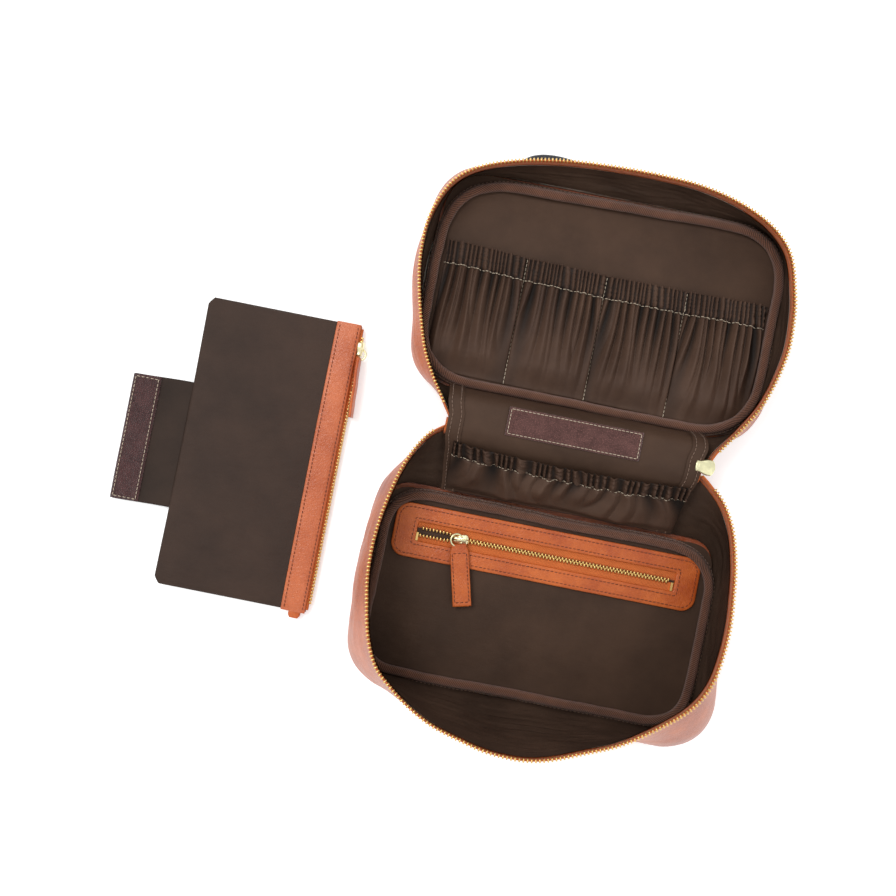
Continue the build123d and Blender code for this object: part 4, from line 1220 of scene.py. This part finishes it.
rows = []
for k in range(121):
    v = k / 120
    left, right, y = pouchOutline(v)
    row = []
    for i in range(71):
        x = mix(left, right, i / 70)
        row.append(at(x, y, pouchTop(x, y, 1)))
    for i in range(71):
        x = mix(right, left, i / 70)
        row.append(at(x, y, pouchTop(x, y, -1)))
    rows.append(row)
pouchCase = rowPiece("pouchCloth", rows, pouchCloth, "pouch", ["pouch_bag"], "pouch_cloth", **capped)


def pouchBand(name, side, node):
    rows = []
    for k in range(161):
        v = k / 160
        y = pouch["y"] + (v - 0.5) * (pouch["length"] + 1.0)
        row = []
        clampY = min(max(y, pouch["y"] - pouch["length"] / 2 + 1), pouch["y"] + pouch["length"] / 2 - 1)
        for share, up in ((0, 0.0), (0, 0.9), (0.03, 1.2), (0.25, 1.35), (0.5, 1.4), (0.75, 1.35),
                          (0.96, 1.2), (1, 0.8), (1, -0.2)):
            x = pouchRight - pouch["band"] * (1 - share) + 0.8
            crease = 0.12 * wobble(x * mm, y * mm * 3, 8, 7)
            base = pouchTop(min(x, pouchRight - 0.2), clampY, side)
            row.append(at(x, y, base + side * (up + crease)))
        rows.append(row)
    rowPiece(name, rows, bandLeather, "pouch", [node], "tan_leather")
    parts = []
    for inset in (1.8, pouch["band"] - 2.4):
        line = []
        for k in range(60):
            y = pouch["y"] + (k / 59 - 0.5) * (pouch["length"] - 3)
            x = pouchRight - inset + 0.8
            line.append(at(x, y, pouchTop(min(x, pouchRight - 0.2), y, side) + side * 1.5))
        parts += stitchParts(line, Vector((0, 0, side)))
    merged(name + "Stitches", parts, tanThread, "pouch", slotName="tan_leather")


pouchBand("pouchBandTop", 1, "pouch_band_top")
pouchBand("pouchBandBack", -1, "pouch_band_back")


def pouchZip():
    for side in (-1, 1):
        rows = []
        for i in range(200):
            y = pouch["y"] + (i / 199 - 0.5) * (pouch["length"] - 4)
            row = []
            for x, up in ((-3.4, 1.2), (0, 1.15), (1.6, 0.95), (2.6, 0.75), (2.6, 0.15)):
                row.append(at(pouchRight + x, y, pouch["middleZ"] + side * up))
            rows.append(row)
        name = "pouchTapeLow" if side < 0 else "pouchTapeHigh"
        rowPiece(name, rows, tapeWeave, "pouch", ["pouch_zip_tapes"] if side < 0 else [], "orange_tape")
    parts = []
    count = int((pouch["length"] - 12) / zipLook["pitch"])
    for i in range(count):
        for side in (-1, 1):
            y = pouch["y"] - pouch["length"] / 2 + 7 + (i + (side + 1) / 4) * zipLook["pitch"]
            place = Matrix.Translation(at(pouchRight + 2.9, y,
                                          pouch["middleZ"] + side * 0.75)) @ spun(90, "Y")
            turned = place @ spun(90, "Z")
            parts.append(roundedBar(turned, *pouch["tooth"], rise=-1.1))
    merged("pouchTeeth", parts, brass, "pouch", ["pouch_zip_teeth"], "brass")


pouchZip()
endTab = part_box("pouch_zip_end_tab")
endMiddle = middleOf("pouch_zip_end_tab")
endRows = []
for k in range(9):
    y = mix(endTab[0].y, endTab[1].y, k / 8)
    draw = 1 - 0.25 * (1 - smooth(0, 0.35, k / 8))
    endRows.append([endMiddle + Vector((a * mm * draw, y - endMiddle.y, u * mm))
                    for a, u in ellipse(9, 5.4, 16, 4.0)])
rowPiece("pouchEndTab", endRows, tanLeather, "pouch", ["pouch_zip_end_tab"], "tan_leather", **capped)

flap = {"reach": 44.0, "width": 94.0, "y": 65.0}
flapHinge = pouchLeft - 0.3


def flapLean(d):        # the flap leans a little along the pouch
    return 1.4 * smooth(0, flap["reach"], d)


def flapHeight(d, y):        # distance out from the pouch, place along it
    return 4.5 - 1.3 * smooth(0, 30, d) + 0.5 * wobble(d * mm, y * mm, 4, 26)


rows = []
for i in range(61):
    y = flap["y"] + (i / 60 - 0.5) * flap["width"]
    row = []
    for k in range(45):
        d = flap["reach"] * k / 44 - 1.5
        row.append(at(flapHinge - d, y - flapLean(d), flapHeight(d, y)))
    rows.append(row)
flapCloth = rowPiece("flapCloth", rows, ribbedCloth, "pouch_flap", ["pouch_flap"], "pouch_cloth")
thicken(flapCloth, 1.1, offset=0)
rows = []
for i in range(61):
    y = flap["y"] + (i / 60 - 0.5) * (flap["width"] - 0.4)
    row = []
    for k in range(15):
        d = flap["reach"] - 21.3 + 21.2 * min(max((k - 0.85) / 12.3, 0), 1)
        edge = 0.85 if k in (0, 14) or i in (0, 60) else 1.5
        row.append(at(flapHinge - d, y - flapLean(d), flapHeight(d, y) + edge + 0.25
                      * wobble(d * mm, y * mm, 9, 4)))
    rows.append(row)
rowPiece("loopStripPile", rows, loopTape, "pouch_flap", ["loop_strip"], "loop_tape")
parts = []
for d in (flap["reach"] - 19.5, flap["reach"] - 2.4):
    line = [at(flapHinge - d, flap["y"] + (k / 40 - 0.5) * 90 - flapLean(d), flapHeight(d, 0) + 1.9)
            for k in range(41)]
    parts += stitchParts(line, skyward, slant=0)
for end in (-1, 1):
    line = [at(flapHinge - flap["reach"] + 2.5 + 17 * k / 8, flap["y"] + end * 44.8 - 1.2,
               flapHeight(30, 0) + 1.9) for k in range(9)]
    parts += stitchParts(line, skyward, slant=0)
merged("loopStripStitches", parts, greyThread, "pouch_flap", slotName="loop_tape")
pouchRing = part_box("pouch_pull_ring")
pouchPullTop = Vector(((pouchRing[0].x + pouchRing[1].x) / 2, pouchRing[0].y + 0.8 * mm, 0.0074))
pouchPullPlace = Matrix.Translation(pouchPullTop) @ spun(3, "Z") @ spun(-90, "Y")
pullStrap("pouchPull", "pouch_pull_tab", pouchPullPlace, "pouch_pull", 43.0)
print("pouch ready")

# Handle on the lid's outside

handleLook = {"route": [(-64, 228), (-74, 262), (-79, 294), (-70, 318), (-48, 325), (-14, 319), (28, 303),
                        (52, 270), (64, 228)], "radius": 3.3, "z": 3.6}
handlePath = resample([at(x, y, handleLook["z"]) for x, y in handleLook["route"]], 160)
handleRows = sweepRows(handlePath, ellipse(2 * handleLook["radius"], 2 * handleLook["radius"], 20), skyward)
rowPiece("rolledHandle", handleRows, darkLeatherAndShade, "handle", ["carry_handle"], "dark_leather", **capped)
seamLine = [p + at(0, 0, -handleLook["radius"]) for p in handlePath[4:-4]]
merged("handleStitches", stitchParts(seamLine, -skyward, pitch=3.2), darkThread, "handle",
       slotName="dark_leather")
tabLook = {"size": (21, 33, 5), "seam": (16.5, 28.5, 3.4), "x": 64, "seamHeight": 6.9,
           "layers": ((0.02, 6.95), (0.6, 7.0), (0.94, 7.05), (1.0, 7.5), (1.0, 8.6))}
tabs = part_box("handle_tabs")
for side, name in ((-1, "leftHandleTab"), (1, "rightHandleTab")):
    loop = roundedRectangle(*tabLook["size"], 90)
    middle = Vector((side * tabLook["x"] * mm, (tabs[0].y + tabs[1].y) / 2, 0))
    rows = []
    for draw, z in tabLook["layers"]:
        rows.append([middle + Vector((p.x * draw, p.y * draw, z * mm)) for p in loop])
    rowPiece(name, rows, tanLeather, "lid", ["handle_tabs"] if side < 0 else [], "tan_leather",
             closeAcross=True, capStart=True)
    seam = [p + middle + at(0, 0, tabLook["seamHeight"]) for p in roundedRectangle(*tabLook["seam"], 90)]
    merged(name + "Stitches", stitchParts(seam + seam[:1], -skyward),
           tanThread, "lid", slotName="tan_leather")

# What stays inside the walls

for name, finish in (("base_board", boardFibre), ("lid_board", boardFibre)):
    nodes[name].data.materials[0] = finish

# Floor, light and camera

room = {"floor": 0.95, "glow": 0.35, "world": 0.8, "aim": (-0.05, 0.1, 0),
        "lamps": {"keyLight": ((-0.8, 0.55, 1.4), 0.7, 11.0), "fillLight": ((1.2, -0.8, 1.6), 1.4, 3.0)}}


def stageFinish():
    look = Look("paleFloor", specular=0.2)
    path = look.tree.nodes.new("ShaderNodeLightPath")
    look.set("Base Color", (room["floor"], room["floor"], room["floor"], 1))
    look.set("Roughness", 0.7)
    glow = look.tree.nodes.new("ShaderNodeEmission")
    glow.inputs["Color"].default_value = (1, 1, 1, 1)
    camera, glossy, through = (Value(look, path.outputs["Is %s Ray" % kind])
                               for kind in ("Camera", "Glossy", "Transmission"))
    seen = look.node("ShaderNodeMath", {"operation": "MINIMUM"}, {0: camera + glossy + through, 1: 1.0})
    look.feed(glow.inputs["Strength"], seen * room["glow"])
    joined = look.tree.nodes.new("ShaderNodeAddShader")
    look.tree.links.new(look.shader.outputs[0], joined.inputs[0])
    look.tree.links.new(glow.outputs[0], joined.inputs[1])
    look.tree.links.new(joined.outputs[0], look.output.inputs["Surface"])
    return look.material


floorMesh = bpy.data.meshes.new("floor")
floorMesh.from_pydata([(-4, -4, 0), (4, -4, 0), (4, 4, 0), (-4, 4, 0)], [], [(0, 1, 2, 3)])
floor = placed("floor", floorMesh)
floorMesh.materials.append(stageFinish())

world = bpy.data.worlds.new("studio")
bpy.context.scene.world = world
world.use_nodes = True
sky = world.node_tree
background = sky.nodes["Background"]
background.inputs["Color"].default_value = (1, 1, 1, 1)
lightPath = sky.nodes.new("ShaderNodeLightPath")
level = sky.nodes.new("ShaderNodeMix")
level.inputs[2].default_value = room["world"]
level.inputs[3].default_value = 1.0
sky.links.new(lightPath.outputs["Is Camera Ray"], level.inputs[0])
sky.links.new(level.outputs[0], background.inputs["Strength"])


def softLight(name, spot, size, power):
    data = bpy.data.lights.new(name, "AREA")
    data.shape = "DISK"
    data.size = size
    data.energy = power
    lamp = placed(name, data)
    lamp.location = spot
    aim = Vector(room["aim"]) - Vector(spot)
    lamp.rotation_euler = aim.to_track_quat("-Z", "Y").to_euler()


for lampName, (lampSpot, lampSize, lampPower) in room["lamps"].items():
    softLight(lampName, lampSpot, lampSize, lampPower)

view = {"spot": (-0.085, 0.101, 0.525), "turn": 11.25, "lens": 28.33}
cameraData = bpy.data.cameras.new("camera")
cameraData.sensor_width = 36
cameraData.lens = view["lens"]
cameraData.clip_start = 0.01
camera = placed("camera", cameraData)
camera.location = view["spot"]
camera.rotation_euler = (0, 0, math.radians(view["turn"]))
bpy.context.scene.camera = camera
bpy.context.scene.view_settings.view_transform = "Standard"
